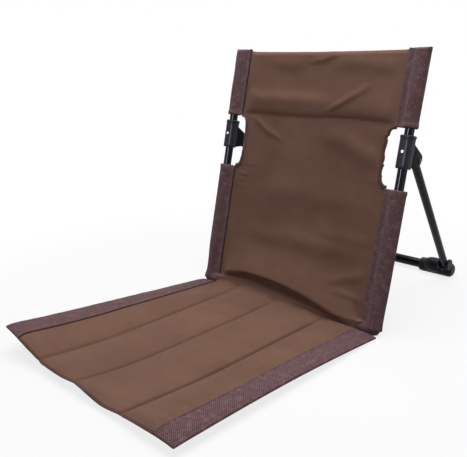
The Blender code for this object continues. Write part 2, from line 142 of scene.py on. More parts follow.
# Cloth sizes of the scene's own: the mat's seams, lip and rear
SEAT_LINES = (-WIDTH / 2, -0.129, -0.0155, 0.1125, WIDTH / 2)
LIP_START = 0.55
REAR_RISE = 0.0003
REAR_RUN = 0.35
SLIT = 0.0026
SLIT_HALF = 0.0031
PAD_INSET = 0.0026
BAND_FOLD = 0.0021
FRONT_SHADE_TAPE_THICK = 0.0005

# Folds and roll of the back's cloth, and its sleeves
FOLD_GAIN = 1.4
FOLD_DRIFT = 0.007
ROLL = 0.0205
TUCK = 0.0030
ROLL_TURN = 0.018
ROLL_FADE = 0.050
STEP_RUN = 0.0090
BELLY = 0.052
CREASE_WIDE = 0.027
UNDER_SLEEVE = 0.0085
TOP_DROOP = 0.0018
SLEEVE_SLANT = 0.0055
FOOT_COVER_R = 0.0125
FOOT_COVER_END = 0.2388
FOOT_COVER_THICK = 0.0008
TAPE_THICK = 0.0007
CHANNEL_THICK = 0.0009
CHANNEL_SEAM = 0.060
CREASE_FRONT = 0.0115

# The seat cover's simulation
SWELL_COLUMNS = 117
SWELL_ROWS = 117
SWELL_PRESSURE = 4.0
SWELL_SPARE = 0.01
SWELL_FRAMES = 20
SWELL_CAP = 0.0012

# Cloth, hems and stitches. A strip without a hem starts its UV map past where one would end
SKIN = 0.0011
HEM = 0.009
HEM_RISE = 0.0008
PAST_HEM = 0.03
# A strip without the dark selvedge and its painted shade starts its U map past them
PAST_SELVEDGE_AND_SHADE = 0.012
STITCH = 0.0032
STITCH_GAP = 0.0014
THREAD_R = 0.00042
SEAM_IN = 0.0034

# Mouldings: voxels, the boss round a pin, and the corners' necks, bulges and cheeks
VOXEL = 0.0006
BOSS_R = 0.0062
FRAME_NECK_R = 0.0108
FOOT_NECK_R = 0.0112
FOOT_NECK_BASE_R = 0.0150
FOOT_COLLAR = 0.021
FOOT_BULGE = (0.032, 0.0160, 0.0180)
FOOT_LUG_R = 0.0130
FOOT_LUG_HALF = 0.0030


def clamp(value, low=0.0, high=1.0):
    return max(low, min(high, value))


def smooth(value, start, end):
    """0 before start and 1 after end, with a soft step between."""
    t = clamp((value - start) / (end - start))
    return t * t * (3 - 2 * t)


def bell(value, centre, half):
    """1 at the centre, falling away softly on both sides."""
    return math.exp(-(((value - centre) / half) ** 2))


def spread(low, high, count):
    return [low + (high - low) * i / (count - 1) for i in range(count)]


def wave(*place):
    """Blender's own noise, from -1 to 1, the same on every run."""
    return noise.noise(Vector(place))


# Mesh helpers


def link(name, data):
    made = bpy.data.objects.new(name, data)
    bpy.context.scene.collection.objects.link(made)
    return made


def surface(name, rows, us, vs, look, flip=False, closed=False):
    """A mesh of quads through rows of points, welded where they meet, with a UV map in metres."""
    data = bpy.data.meshes.new(name)
    wide = len(rows[0])
    points = [p for row in rows for p in row]
    faces = []
    for r in range(len(rows) - 1):
        for c in range(wide - 1):
            corner = r * wide + c
            quad = (corner, corner + 1, corner + wide + 1, corner + wide)
            faces.append(quad[::-1] if flip else quad)
    data.from_pydata(points, [], faces)
    layer = data.uv_layers.new(name="metres")
    index = np.zeros(len(data.loops), np.int32)
    data.loops.foreach_get("vertex_index", index)
    flat = np.stack([np.asarray(us)[index % wide], np.asarray(vs)[index // wide]], axis=1)
    layer.data.foreach_set("uv", flat.astype(np.float32).ravel())
    made = link(name, data)
    tidy_mesh(data, closed=closed)
    data.materials.append(look)
    return made


def tidy_mesh(data, sharp=0.7, closed=False):
    """Welds points that meet, turns closed meshes outward, and shades smooth up to an angle in radians."""
    shape = bmesh.new()
    shape.from_mesh(data)
    bmesh.ops.remove_doubles(shape, verts=shape.verts, dist=0.000002)
    bmesh.ops.dissolve_degenerate(shape, edges=shape.edges, dist=0.000001)
    if closed:
        bmesh.ops.recalc_face_normals(shape, faces=shape.faces)
    for face in shape.faces:
        face.smooth = True
    for edge in shape.edges:
        if len(edge.link_faces) == 2:
            edge.smooth = edge.calc_face_angle(0) < sharp
    shape.to_mesh(data)
    shape.free()


def thicken(obj, thickness=SKIN, offset=-1.0):
    skin = obj.modifiers.new("cloth", "SOLIDIFY")
    skin.thickness = thickness
    skin.offset = offset
    skin.use_even_offset = True


def lengths(points):
    """Running length along a line of points."""
    run = [0.0]
    for first, last in zip(points, points[1:]):
        run.append(run[-1] + (Vector(last) - Vector(first)).length)
    return run


def on_back(x, depth, height):
    """A point of the back's own frame, at rest."""
    return BACK_FRAME @ Vector((x, depth, height))


def aim(start, direction):
    """A matrix at start whose Z axis lies along direction."""
    turn = Vector((0, 0, 1)).rotation_difference(Vector(direction).normalized())
    return Matrix.Translation(start) @ turn.to_matrix().to_4x4()


def turned(name, profile, place, look, steps=48):
    """A profile of (radius, height) pairs, from the top down, turned about the Z axis of a matrix."""
    angles = spread(0, 2 * math.pi, steps + 1)
    rows = [[place @ Vector((r * math.cos(a), r * math.sin(a), z)) for a in angles] for r, z in profile]
    widest = max(r for r, _ in profile)
    run = lengths([(r, 0, z) for r, z in profile])
    return surface(name, rows, [a * widest for a in angles], run, look, closed=True)


def rod_profile(radius, length, edge=0.0006):
    """A rod with rounded ends, from its top down to 0."""
    rows = max(3, round(length / 0.02))
    side = [(radius, z) for z in spread(length - edge, edge, rows)]
    return [(0, length), (radius - edge, length), *side, (radius - edge, 0), (0, 0)]


def rod(name, radius, start, direction, length, look, *home):
    """A round bar or tube. Home names its body, slot and node."""
    give(turned(name, rod_profile(radius, length), aim(start, direction), look), *home)


def give(piece, body, slot, *nodes):
    """The piece rides on a body and stands for CAD nodes, which it hides. The slot is not used."""
    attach(piece, body)
    if nodes:
        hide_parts(*nodes)


def sew(name, rows, column, look, thick, home, start=(0.0, 0.0), flip=False, down=False):
    """A folded sheet through rows of points, with a UV map in metres along its middle row and one column."""
    us = [start[0] + u for u in lengths(rows[len(rows) // 2])]
    vs = [start[1] + v for v in lengths([row[column] for row in rows])]
    if down:
        vs = [vs[-1] - v for v in vs]
    made = surface(name, rows, us, vs, look, flip)
    thicken(made, thick)
    give(made, *home)


def stitches(name, lines, look):
    """Rows of raised stitches. Each line is a list of (point, outward direction) pairs."""
    data = bpy.data.meshes.new(name)
    points = []
    faces = []
    for line in lines:
        line = [(Vector(place), Vector(out)) for place, out in line]
        run = lengths([place for place, _ in line])
        at = STITCH_GAP
        while at + STITCH < run[-1]:
            add_stitch(points, faces, line, run, at)
            at += STITCH + STITCH_GAP
    data.from_pydata(points, [], faces)
    made = link(name, data)
    tidy_mesh(data, 2.0)
    data.materials.append(look)
    return made


def add_stitch(points, faces, line, run, at):
    """One stitch: a thread that comes up out of the cloth, lies on it and goes back in."""
    ribs = ((0.0, 0.35, -0.8), (0.18, 0.9, 0.2), (0.5, 1.0, 0.45), (0.82, 0.9, 0.2), (1.0, 0.35, -0.8))
    sides = 6
    first = len(points)
    for share, size, rise in ribs:
        where, out, along = along_line(line, run, at + share * STITCH)
        across = along.cross(out).normalized()
        centre = where + out * THREAD_R * rise
        for k in range(sides):
            turn = 2 * math.pi * k / sides
            reach = across * math.cos(turn) + out * math.sin(turn)
            points.append(centre + reach * THREAD_R * size)
    for rib in range(len(ribs) - 1):
        for k in range(sides):
            low = first + rib * sides
            after = (k + 1) % sides
            faces.append((low + k, low + after, low + sides + after, low + sides + k))
    faces.append([first + k for k in reversed(range(sides))])
    faces.append([len(points) - sides + k for k in range(sides)])


def along_line(line, run, at):
    """Point, outward direction and heading at a distance along a line."""
    step = int(np.searchsorted(run, at, side="right")) - 1
    step = min(max(step, 0), len(run) - 2)
    share = (at - run[step]) / max(run[step + 1] - run[step], 1e-9)
    first, first_out = line[step]
    last, last_out = line[step + 1]
    along = (last - first).normalized()
    out = first_out.lerp(last_out, share)
    out = (out - along * out.dot(along)).normalized()
    return first.lerp(last, share), out, along


# Materials

COOL = (0.86, 0.84, 1.0, 1.0)
WHITE = (1.0, 1.0, 1.0)
DARK_WEB = (0.080, 0.039, 0.043)
MAUVE = (0.328, 0.202, 0.218)
RED_BROWN = (0.225, 0.095, 0.092)
PINK = (0.330, 0.190, 0.215)
TAN = (0.330, 0.225, 0.190)
# Dark selvedge of the webbing, which also paints the shade of a band's raised sewn edge
SELVEDGE_AND_SHADE = (0.020, 0.010, 0.010)


class Recipe:
    """Builds one node tree step by step, from texture coordinates of one kind."""

    def __init__(self, owner, kind=None):
        owner.use_nodes = True
        self.owner = owner
        self.nodes = owner.node_tree.nodes
        self.links = owner.node_tree.links
        if kind:
            self.place = self.add("TexCoord").outputs[kind]

    def add(self, kind, inputs=None, **settings):
        made = self.nodes.new("ShaderNode" + kind)
        for key, value in settings.items():
            setattr(made, key, value)
        self.feed(made, inputs or {})
        return made

    def feed(self, made, inputs):
        """Links a node's inputs or sets their values, colours by three numbers."""
        for key, value in inputs.items():
            socket = made.inputs[key]
            if isinstance(value, bpy.types.NodeSocket):
                self.links.new(value, socket)
            elif socket.type == "RGBA":
                socket.default_value = (*value, 1.0)
            else:
                socket.default_value = value

    def math(self, operation, first, second=0.0):
        return self.add("Math", {0: first, 1: second}, operation=operation).outputs[0]

    def times(self, first, second):
        return self.math("MULTIPLY", first, second)

    def scaled(self, by):
        return self.add("VectorMath", {0: self.place, 1: by}, operation="MULTIPLY").outputs[0]

    def noise(self, scale, detail=2.0, roughness=0.5, stretch=None):
        place = self.scaled(stretch) if stretch else self.place
        inputs = {"Vector": place, "Scale": scale, "Detail": detail, "Roughness": roughness}
        return self.add("TexNoise", inputs).outputs["Fac"]

    def between(self, share, low, high):
        """Maps a share from 0 to 1 onto low to high."""
        return self.add("MapRange", {0: share, 3: low, 4: high}).outputs[0]

    def step(self, value, start, end, low=0.0, high=1.0):
        """Low before start and high after end, softly."""
        inputs = {0: value, 1: start, 2: end, 3: low, 4: high}
        return self.add("MapRange", inputs, interpolation_type="SMOOTHSTEP").outputs[0]

    def blend(self, share, first, second, kind="MIX"):
        inputs = {0: share, 6: first, 7: second}
        return self.add("Mix", inputs, data_type="RGBA", blend_type=kind).outputs[2]

    def shade(self, colour, amount):
        grey = self.add("CombineColor", {0: amount, 1: amount, 2: amount}).outputs[0]
        return self.blend(1.0, colour, grey, "MULTIPLY")

    def bump(self, height, distance, strength=1.0, before=None):
        inputs = {"Height": height, "Distance": distance, "Strength": strength}
        if before:
            inputs["Normal"] = before
        return self.add("Bump", inputs).outputs[0]

    def finish(self, colour, roughness, normal, **constants):
        shader = self.nodes["Principled BSDF"]
        self.feed(shader, {"Base Color": colour, "Roughness": roughness, "Normal": normal})
        for key, value in constants.items():
            shader.inputs[key.replace("_", " ")].default_value = value
        return self.owner


def new_look(name, kind):
    return Recipe(bpy.data.materials.new(name), kind)


def weave(recipe, thread):
    """Height and over-under pattern of a plain weave whose threads are this wide, in metres."""
    ways = recipe.add("SeparateXYZ", {0: recipe.scaled((1 / thread, 1 / thread, 1))}).outputs[:2]
    warp, weft = [recipe.math("SINE", recipe.times(recipe.math("FRACT", way), math.pi)) for way in ways]
    cell = recipe.math("ADD", *[recipe.math("FLOOR", way) for way in ways])
    over = recipe.math("FLOORED_MODULO", cell, 2.0)
    warp_up = recipe.times(warp, recipe.between(weft, 0.45, 1.0))
    weft_up = recipe.times(weft, recipe.between(warp, 0.45, 1.0))
    height = recipe.add("Mix", {0: over, 2: weft_up, 3: warp_up}, data_type="FLOAT").outputs[0]
    return height, over


def canvas(name, dark, light, thread):
    """Close-woven coated cloth: fine threads with painted shade in the gaps between them, soft patches of
    fading and a faint sheen.
    """
    recipe = new_look(name, "UV")
    height, over = weave(recipe, thread)
    slubs = recipe.noise(420.0)
    colour = recipe.blend(recipe.step(recipe.noise(9.0, 4.0, 0.6), 0.3, 0.7), dark, light)
    colour = recipe.blend(recipe.between(over, 0.0, 0.12), colour, light)
    # Painted shade: darker in the gaps between threads, times a random tone per slub
    amount = recipe.times(recipe.between(height, 0.82, 1.05), recipe.between(slubs, 0.86, 1.14))
    rough = recipe.between(recipe.noise(30.0, 3.0), 0.62, 0.82)
    crumple = recipe.bump(recipe.noise(55.0, 3.0), 0.0007, 0.6)
    normal = recipe.bump(height, 0.00022, 0.55, crumple)
    constants = {"Sheen_Weight": 0.05, "Sheen_Roughness": 0.5, "Specular_IOR_Level": 0.04}
    return recipe.finish(recipe.shade(colour, amount), rough, normal, **constants)


def webbing(name, thread):
    """Coarse woven band in two thread colours and reddish streaks, with painted shade between threads, dark
    where U is 0 and paler on its hem. The dark edge is its selvedge with painted shade of the raised sewn
    edge.
    """
    recipe = new_look(name, "UV")
    height, over = weave(recipe, thread)
    across, along = recipe.add("SeparateXYZ", {0: recipe.place}).outputs[:2]
    strands = recipe.noise(600.0)
    patches = recipe.noise(22.0, 4.0, 0.65)
    streaks = recipe.step(recipe.noise(1.0, 3.0, 0.6, (260.0, 28.0, 1.0)), 0.46, 0.62)
    blush = recipe.step(recipe.noise(70.0, 3.0, 0.6), 0.48, 0.66)
    colour = recipe.blend(recipe.between(over, 0.06, 0.94), DARK_WEB, MAUVE)
    for share, most, tint in ((streaks, 0.45, RED_BROWN), (patches, 0.42, DARK_WEB), (blush, 0.5, PINK)):
        colour = recipe.blend(recipe.between(share, 0.0, most), colour, tint)
    turned_end = recipe.step(along, HEM + 0.0012, HEM - 0.0002)
    colour = recipe.blend(recipe.times(turned_end, 0.30), colour, TAN)
    mottle = recipe.between(recipe.noise(1.0, 2.0, 0.6, (420.0, 170.0, 1.0)), 0.45, 1.55)
    # Painted shade in the gaps between threads and painted highlight on their tops, times a random tone per
    # strand
    amount = recipe.times(recipe.between(height, 0.40, 1.20), recipe.between(strands, 0.75, 1.25))
    colour = recipe.shade(colour, recipe.times(amount, mottle))
    # Where U is 0: the dark selvedge, which also paints the shade of the raised sewn edge
    colour = recipe.blend(recipe.step(across, 0.0010, 0.0022), SELVEDGE_AND_SHADE, colour)
    rough = recipe.between(height, 0.9, 0.7)
    normal = recipe.bump(height, 0.0006, 0.8, recipe.bump(strands, 0.0002, 0.4))
    constants = {"Sheen_Weight": 0.10, "Sheen_Roughness": 0.45, "Specular_IOR_Level": 0.05}
    return recipe.finish(colour, rough, normal, **constants)


def painted(name, colour, worn, rough_low, rough_high, shine):
    """Painted steel tube: faint orange peel, hairline scuffs and a little bare wear."""
    recipe = new_look(name, "Object")
    scuffs = recipe.step(recipe.noise(1.0, 3.0, 0.65, (900.0, 900.0, 60.0)), 0.66, 0.78)
    mixed = recipe.blend(recipe.times(scuffs, 0.5), colour, worn)
    cloud = recipe.between(recipe.noise(18.0, 3.0), rough_low, rough_high)
    rough = recipe.math("ADD", cloud, recipe.times(scuffs, 0.18))
    normal = recipe.bump(recipe.noise(420.0), 0.00006, 0.5)
    return recipe.finish(mixed, rough, normal, Specular_IOR_Level=shine, Specular_Tint=COOL)


def moulded(name, colour, worn, rough, shine):
    """Moulded plastic: fine spark texture, slight flow marks and paler rubbed edges."""
    recipe = new_look(name, "Object")
    flow = recipe.noise(45.0, 3.0)
    rub = recipe.step(recipe.add("NewGeometry").outputs["Pointiness"], 0.53, 0.62)
    mixed = recipe.blend(recipe.times(rub, 0.55), colour, worn)
    mixed = recipe.blend(recipe.between(flow, 0.0, 0.25), mixed, worn)
    roughness = recipe.between(flow, rough - 0.06, rough + 0.08)
    normal = recipe.bump(recipe.noise(1700.0), 0.0001, 0.6)
    return recipe.finish(mixed, roughness, normal, Specular_IOR_Level=shine, Specular_Tint=COOL)


def bare_metal(name, light, dark):
    """Rolled steel: turned marks and fine scratches."""
    recipe = new_look(name, "Object")
    marks = recipe.noise(2600.0)
    colour = recipe.blend(recipe.between(recipe.noise(300.0, 3.0), 0.0, 0.5), light, dark)
    rough = recipe.between(marks, 0.18, 0.38)
    return recipe.finish(colour, rough, recipe.bump(marks, 0.00005, 0.4), Metallic=1.0)


def twisted_thread(name, colour, light):
    """Sewing thread with a visible twist."""
    recipe = new_look(name, "Object")
    twist = recipe.add("TexWave", {"Vector": recipe.place, "Scale": 420.0, "Distortion": 2.0}).outputs["Fac"]
    mixed = recipe.blend(recipe.between(twist, 0.0, 0.6), colour, light)
    rough = recipe.between(twist, 0.75, 0.6)
    return recipe.finish(mixed, rough, recipe.bump(twist, 0.0002, 0.6), Sheen_Weight=0.2)


BROWN = canvas("brown_canvas", (0.178, 0.095, 0.067), (0.216, 0.118, 0.085), 0.0006)
BAND = webbing("mauve_webbing", 0.0020)
TAPE = canvas("edge_tape", (0.105, 0.053, 0.042), (0.160, 0.086, 0.066), 0.0007)
MAUVE_TAPE = canvas("mauve_tape", (0.125, 0.068, 0.070), (0.205, 0.122, 0.124), 0.0007)
GLOSS = painted("gloss_black_paint", (0.005, 0.0042, 0.0052), (0.05, 0.047, 0.045), 0.06, 0.11, 0.13)
SATIN = painted("satin_grey_paint", (0.0225, 0.0205, 0.0295), (0.070, 0.066, 0.082), 0.30, 0.40, 0.08)
CHARCOAL = moulded("charcoal_moulding", (0.025, 0.0234, 0.0315), (0.050, 0.047, 0.060), 0.34, 0.14)
BLACK_PLASTIC = moulded("black_moulding", (0.0070, 0.0058, 0.0078), (0.022, 0.020, 0.025), 0.36, 0.04)
FOOT_PLASTIC = moulded("foot_moulding", (0.0120, 0.0098, 0.0125), (0.036, 0.031, 0.037), 0.34, 0.11)
STEEL = bare_metal("bright_steel", (0.72, 0.70, 0.67), (0.50, 0.48, 0.46))
DARK_STEEL = bare_metal("blackened_steel", (0.035, 0.034, 0.036), (0.020, 0.019, 0.021))
THREAD = twisted_thread("brown_thread", (0.060, 0.033, 0.030), (0.125, 0.075, 0.068))
DARK_THREAD = twisted_thread("dark_thread", (0.022, 0.012, 0.012), (0.055, 0.034, 0.033))

# The seat mat


def crease_height(x):
    """Height of the seat's lip in the crease, which climbs towards the left."""
    return min(0.0165, max(-0.001, 0.0085 - 0.075 * x))


def along_seat(y):
    """Share of the way from the mat's rear to its front."""
    return (SEAT_BACK - y) / SEAT_RUN


def rear_rise(x, y):
    """How far the mat's rear climbs towards the crossbar, between its two bands."""
    rise = REAR_RISE + 0.20 * max(0, crease_height(x))
    near = max(0, 1 - (SEAT_BACK - y) / REAR_RUN)
    return rise * near**1.2 * (1 - smooth(abs(x), 0.150, 0.192))


def lift(x, y):
    """How far the soft mat stands off the ground: curled left, raised right and lipped in front."""
    share = along_seat(y)
    left = clamp(-4 * x / WIDTH - 1)
    right = clamp(4 * x / WIDTH - 1)
    lip = max(0, (share - LIP_START) / (1 - LIP_START)) ** 2
    lip *= 1.6 - 1.25 * (2 * x / WIDTH) ** 4 + 0.25 * bell(x, -0.12, 0.05)
    lip += max(0, (share - 0.8) / 0.2) ** 2 * (0.5 * bell(x, -0.012, 0.03) - 0.65 * bell(x, 0.066, 0.035))
    sides = LEFT_CURL * share * left + RIGHT_LIFT * math.sin(2.3 * share) * right
    return sides + FRONT_LIFT * lip + rear_rise(x, y)


def across_channels(x):
    """Share of the way across a channel, and the distance to its nearer side."""
    number = 0
    while number < CHANNELS - 1 and x > SEAT_LINES[number + 1]:
        number += 1
    low, high = SEAT_LINES[number], SEAT_LINES[number + 1]
    return clamp((x - low) / (high - low)), min(abs(x - low), abs(high - x))


def seam_depth(x):
    """How much deeper the right seam is sewn than the others."""
    return 1 + 0.8 * smooth(x, 0.08, 0.10)


def pad_top(x, y):
    """Height of the padded surface above the mat's underside: crowned channels between narrow sewn slits."""
    share = along_seat(y)
    behind = SEAT_BACK - y
    part, off = across_channels(x)
    pull = 1 - max(0, 1 - (2 * part - 1) ** 2) ** 0.5
    slit = 0.0
    rear = 0.7 + 0.3 * smooth(behind, 0.0, 0.014)
    if abs(x) < BAND_IN:
        pull *= 0.85
        slit = SLIT * seam_depth(x) * bell(off, 0, SLIT_HALF) * smooth(behind, 0.010, 0.045)
        rear = 0.3 + 0.7 * smooth(behind, 0.0, 0.009)
    nose = max(0, (share - 0.93) / 0.07)
    full = (SEAT_CROWN - SEAM_TOP) * (1 - pull) * math.sqrt(max(0, 1 - 0.8 * nose * nose))
    puckers = 0.0005 * pull * wave(40 * x, 55 * y, 2.0) + 0.0006 * wave(9 * x, 7 * y, 5.0)
    top = SEAM_TOP + full + puckers * smooth(share, 0.0, 0.05) - slit
    top *= 1 - 0.65 * max(0, (share - 0.966) / 0.034) ** 2
    return max(top * rear, 0.0009)


def cover_z(x, y):
    """Z of the mat's top cover, with what the simulation adds to it."""
    return lift(x, y) + (pad_top(x, y) + swell(x, y))


def swell(x, y):
    """How far the filled cover rises at a place, read between the simulation's points."""
    if abs(x) >= BAND_IN:
        return 0.0
    across = (x + BAND_IN) / (2 * BAND_IN) * (SWELL_COLUMNS - 1)
    along = clamp(along_seat(y)) * (SWELL_ROWS - 1)
    c = min(int(across), SWELL_COLUMNS - 2)
    r = min(int(along), SWELL_ROWS - 2)
    near = SWELL[r, c] * (1 - across + c) + SWELL[r, c + 1] * (across - c)
    far = SWELL[r + 1, c] * (1 - across + c) + SWELL[r + 1, c + 1] * (across - c)
    return float(near * (1 - along + r) + far * (along - r))


def simulate_cover():
    """Rise of the seat's top cover on a grid: cloth cut a little too large swells between seams and edges."""
    points = []
    for along in spread(0, 1, SWELL_ROWS):
        y = SEAT_BACK - along * SEAT_RUN
        points += [(x, y, lift(x, y) + pad_top(x, y)) for x in spread(-BAND_IN, BAND_IN, SWELL_COLUMNS)]
    data = bpy.data.meshes.new("cover_cloth")
    quads = []
    for r in range(SWELL_ROWS - 1):
        for c in range(SWELL_COLUMNS - 1):
            corner = r * SWELL_COLUMNS + c
            quads.append((corner, corner + SWELL_COLUMNS, corner + SWELL_COLUMNS + 1, corner + 1))
    data.from_pydata(points, [], quads)
    cover = link("cover_cloth", data)
    sewn = cover.vertex_groups.new(name="sewn")
    for vertex in data.vertices:
        x, y, _ = vertex.co
        off = min(across_channels(x)[1], BAND_IN - abs(x), SEAT_BACK - y, y - SEAT_BACK + SEAT_RUN)
        sewn.add([vertex.index], 1 - smooth(off, 0.003, 0.012), "REPLACE")
    cloth = cover.modifiers.new("swell", "CLOTH")
    cloth.settings.vertex_group_mass = "sewn"
    cloth.settings.use_pressure = True
    cloth.settings.uniform_pressure_force = SWELL_PRESSURE
    cloth.settings.shrink_min = -SWELL_SPARE
    cloth.settings.effector_weights.gravity = 0
    cloth.point_cache.frame_start = 1
    cloth.point_cache.frame_end = SWELL_FRAMES
    for number in range(1, SWELL_FRAMES + 1):
        bpy.context.scene.frame_set(number)
    swollen = cover.evaluated_get(bpy.context.evaluated_depsgraph_get()).data
    before = np.zeros(len(points) * 3)
    after = np.zeros(len(points) * 3)
    data.vertices.foreach_get("co", before)
    swollen.vertices.foreach_get("co", after)
    bpy.context.scene.frame_set(1)
    bpy.data.objects.remove(cover)
    bpy.data.meshes.remove(data)
    rise = (after - before).reshape(SWELL_ROWS, SWELL_COLUMNS, 3)[:, :, 2]
    return np.clip(rise, -SWELL_CAP, SWELL_CAP)


SWELL = simulate_cover()


def front_of(x):
    """Y of the mat's front edge, drawn in a little at each seam."""
    part, off = across_channels(x)
    drawn = 0.0015 * (2 * part - 1) ** 2 + 0.0012 * bell(off, 0, 0.004)
    return SEAT_BACK - SEAT_RUN + 0.0008 + drawn * (abs(x) < BAND_IN)


def seat_rows(count, low=0.0, high=1.0):
    """Shares from the hinge to the front, closer together at the front edge."""
    return [low + (high - low) * math.sin(0.5 * math.pi * i / (count - 1)) for i in range(count)]


def pad_columns(edge):
    """X places across the mat, close together beside its seams."""
    near = (0.0, 0.0006, 0.0013, 0.0022, 0.0034, 0.0050, 0.0075, 0.0110, 0.0160)
    columns = []
    for low, high in zip(SEAT_LINES, SEAT_LINES[1:]):
        columns += [low + step for step in near] + [high - step for step in near]
        columns += spread(low + 0.0220, high - 0.0220, 13)
    return sorted({round(max(-edge, min(edge, x)), 6) for x in columns})


def build_pad():
    """The closed mat: its top, a rounded front and its underside."""
    edge = WIDTH / 2 - PAD_INSET
    xs = pad_columns(edge)
    shares = spread(0, 0.03, 9)[:-1] + seat_rows(110, 0.03)
    rows = []
    for under in (False, True):
        for share in reversed(shares) if under else shares:
            row = []
            for x in xs:
                y = SEAT_BACK - share * (SEAT_BACK - front_of(x))
                high = cover_z(x, y)
                low = lift(x, y) + 0.0002 + 0.0016 * smooth(abs(x), BAND_IN - 0.004, BAND_IN)
                low = min(low, high - 0.0006)
                closing = smooth(abs(x), edge - 0.004, edge)
                middle = (low + high) / 2
                z = low if under else high
                row.append((x, y, z + (middle - z) * closing))
            rows.append(row)
        if not under:
            rows.append([(x, y - 0.0012, z - 0.0011) for x, y, z in rows[-1]])
    rows.append(rows[0])
    vs = lengths([row[len(xs) // 2] for row in rows])
    return surface("seat_pad", rows, [x + 0.3 for x in xs], vs, BROWN, closed=True)


pad = build_pad()
foam = [f"seat_foam_{number}" for number in range(1, CHANNELS + 1)]
give(pad, "seat", "brown_fabric", "seat_top_cover", "seat_bottom_cover", *foam)


def band_top(x, y):
    """Z of a seat band's outer face."""
    ripple = 0.0004 * wave(30 * x, 24 * y, 8.0 + math.copysign(1, x)) * smooth(along_seat(y), 0.02, 0.1)
    return lift(x, y) + pad_top(x, y) + CLEAR + SKIN + ripple


def build_seat_band(word, side):
    """A woven strip folded round the mat's side, with a raised sewn edge."""
    fold_x = WIDTH / 2 - BAND_FOLD
    tops = [BAND_IN - 0.0004, BAND_IN, BAND_IN + 0.0012, BAND_IN + 0.003, BAND_IN + 0.005]
    tops += spread(BAND_IN + 0.008, fold_x, 14)
    proud = [-0.0011, 0.0004, 0.0012, 0.0010, 0.0004] + [0.0] * 14
    rows = []
    for share in seat_rows(120):
        y = SEAT_BACK - share * (SEAT_RUN - 0.0006)
        row = [(side * x, y, band_top(side * x, y) + rise) for x, rise in zip(tops, proud)]
        top = row[-1][2]
        low = lift(side * fold_x, y) + 0.0001
        middle = (top + low) / 2
        for k in range(1, 8):
            turn = math.pi * (0.5 - k / 8)
            x = side * (fold_x + BAND_FOLD * math.cos(turn))
            row.append((x, y, middle + (top - low) / 2 * math.sin(turn)))
        for x in spread(fold_x, BAND_IN, 10):
            row.append((side * x, y, lift(side * x, y) + 0.0001))
        rows.append(row)
    home = ("seat", "woven_band", f"seat_band_{word}")
    sew(f"seat_band_strip_{word}", rows, 10, BAND, SKIN, home, (0.0, PAST_HEM), side > 0)


for word, side in SIDES:
    build_seat_band(word, side)


def build_front_shade_tape():
    """A narrow dark tape folded over the mat's front edge, between the bands; its dark colour is painted
    shade along that edge.
    """
    rows = []
    for x in pad_columns(BAND_IN - 0.0005):
        front = front_of(x)
        ragged = 0.0007 * wave(70 * x, 3.0, 6.0)
        row = []
        for behind in (0.0034 + ragged, 0.0026 + ragged, 0.0013, 0.0):
            y = front + behind
            row.append((x, y, cover_z(x, y) + 0.0004))
        row.append((x, front - 0.0016 + 0.5 * ragged, (row[-1][2] + lift(x, front)) / 2))
        for behind in (0.0, 0.0040):
            row.append((x, front + behind, lift(x, front + behind) - 0.0002))
        rows.append(row)
    # The tape's dark colour paints the shade along the mat's front edge
    sew("front_shade_tape", rows, 3, TAPE, FRONT_SHADE_TAPE_THICK, ("seat", "brown_fabric"))


build_front_shade_tape()

# The back's cloth


def edge_of(height):
    """Half the panel's width at a height: its foot clears the seat's bands, and the cut-outs draw it in."""
    if height < 0.03:
        return BAND_IN - CLEAR + (PANEL_EDGE - BAND_IN + CLEAR) * smooth(height, 0.010, 0.016)
    return PANEL_EDGE - CUT_DEPTH * cut_share(height)


def cut_share(height):
    """0 at the ends of a cut-out and 1 along its middle, squarer than a half circle."""
    away = abs(height - CUT_MIDDLE) / CUT_HALF
    return max(0, 1 - away**CUT_SQUARE) ** (1 / CUT_SQUARE)


def cut_wave(side, height):
    """The cut-out's edge wanders a little, and is ragged on the right."""
    rough = 0.0042 * wave(75 * height, 3.0, 1.0) + 0.0026 * wave(260 * height, 7.0, 2.0)
    rough *= 1 + 0.8 * smooth(height, CUT_MIDDLE, CUT_HIGH)
    calm = 0.0008 * wave(110 * height, 3.0, 4.0)
    return (rough if side > 0 else calm) * cut_share(height)


def panel_plane(height, across=1.0):
    """Depth of the panel before it sags: its middle leans out to the foot, its edges run straight down."""
    foot = PANEL_THICK / 2 + CLEAR / 2
    if height < 0:
        return foot - height * math.tan(RECLINE)
    above = max(0, height - FRAME_BAR_H - UPRIGHT_D / 2)
    run = 0.060 - 0.056 * smooth(across, 0.78, 0.98)
    return foot + (TUBE_DEPTH - foot) * math.sin(min(1, above / run) * math.pi / 2)


# Soft folds of the back: start and end as (x, height), how far they stand out, and their half width
FOLDS = (
    ((-0.200, 0.430), (0.010, 0.426), 0.0022, 0.014),
    ((0.040, 0.410), (0.112, 0.455), 0.0021, 0.0075),
    ((-0.022, 0.507), (0.040, 0.523), 0.0017, 0.0055),
    ((-0.120, 0.506), (-0.050, 0.504), 0.0020, 0.016),
    ((0.050, 0.506), (0.170, 0.502), 0.0023, 0.017),
    ((-0.152, 0.375), (-0.090, 0.342), 0.0019, 0.006),
    ((0.050, 0.362), (0.165, 0.320), 0.0034, 0.020),
    ((0.168, 0.360), (0.178, 0.285), -0.0012, 0.008),
    ((-0.090, 0.236), (0.110, 0.234), 0.0024, 0.026),
    ((-0.105, 0.131), (0.130, 0.136), 0.0027, 0.022),
    ((0.060, 0.164), (0.190, 0.165), 0.0012, 0.012),
    ((0.190, 0.096), (0.100, 0.072), 0.0018, 0.010),
    ((0.188, 0.052), (0.126, 0.056), 0.0014, 0.006),
    ((-0.190, 0.262), (-0.165, 0.258), 0.0014, 0.004),
    ((-0.190, 0.249), (-0.168, 0.243), 0.0012, 0.004),
    ((-0.190, 0.232), (-0.165, 0.228), 0.0008, 0.005),
)


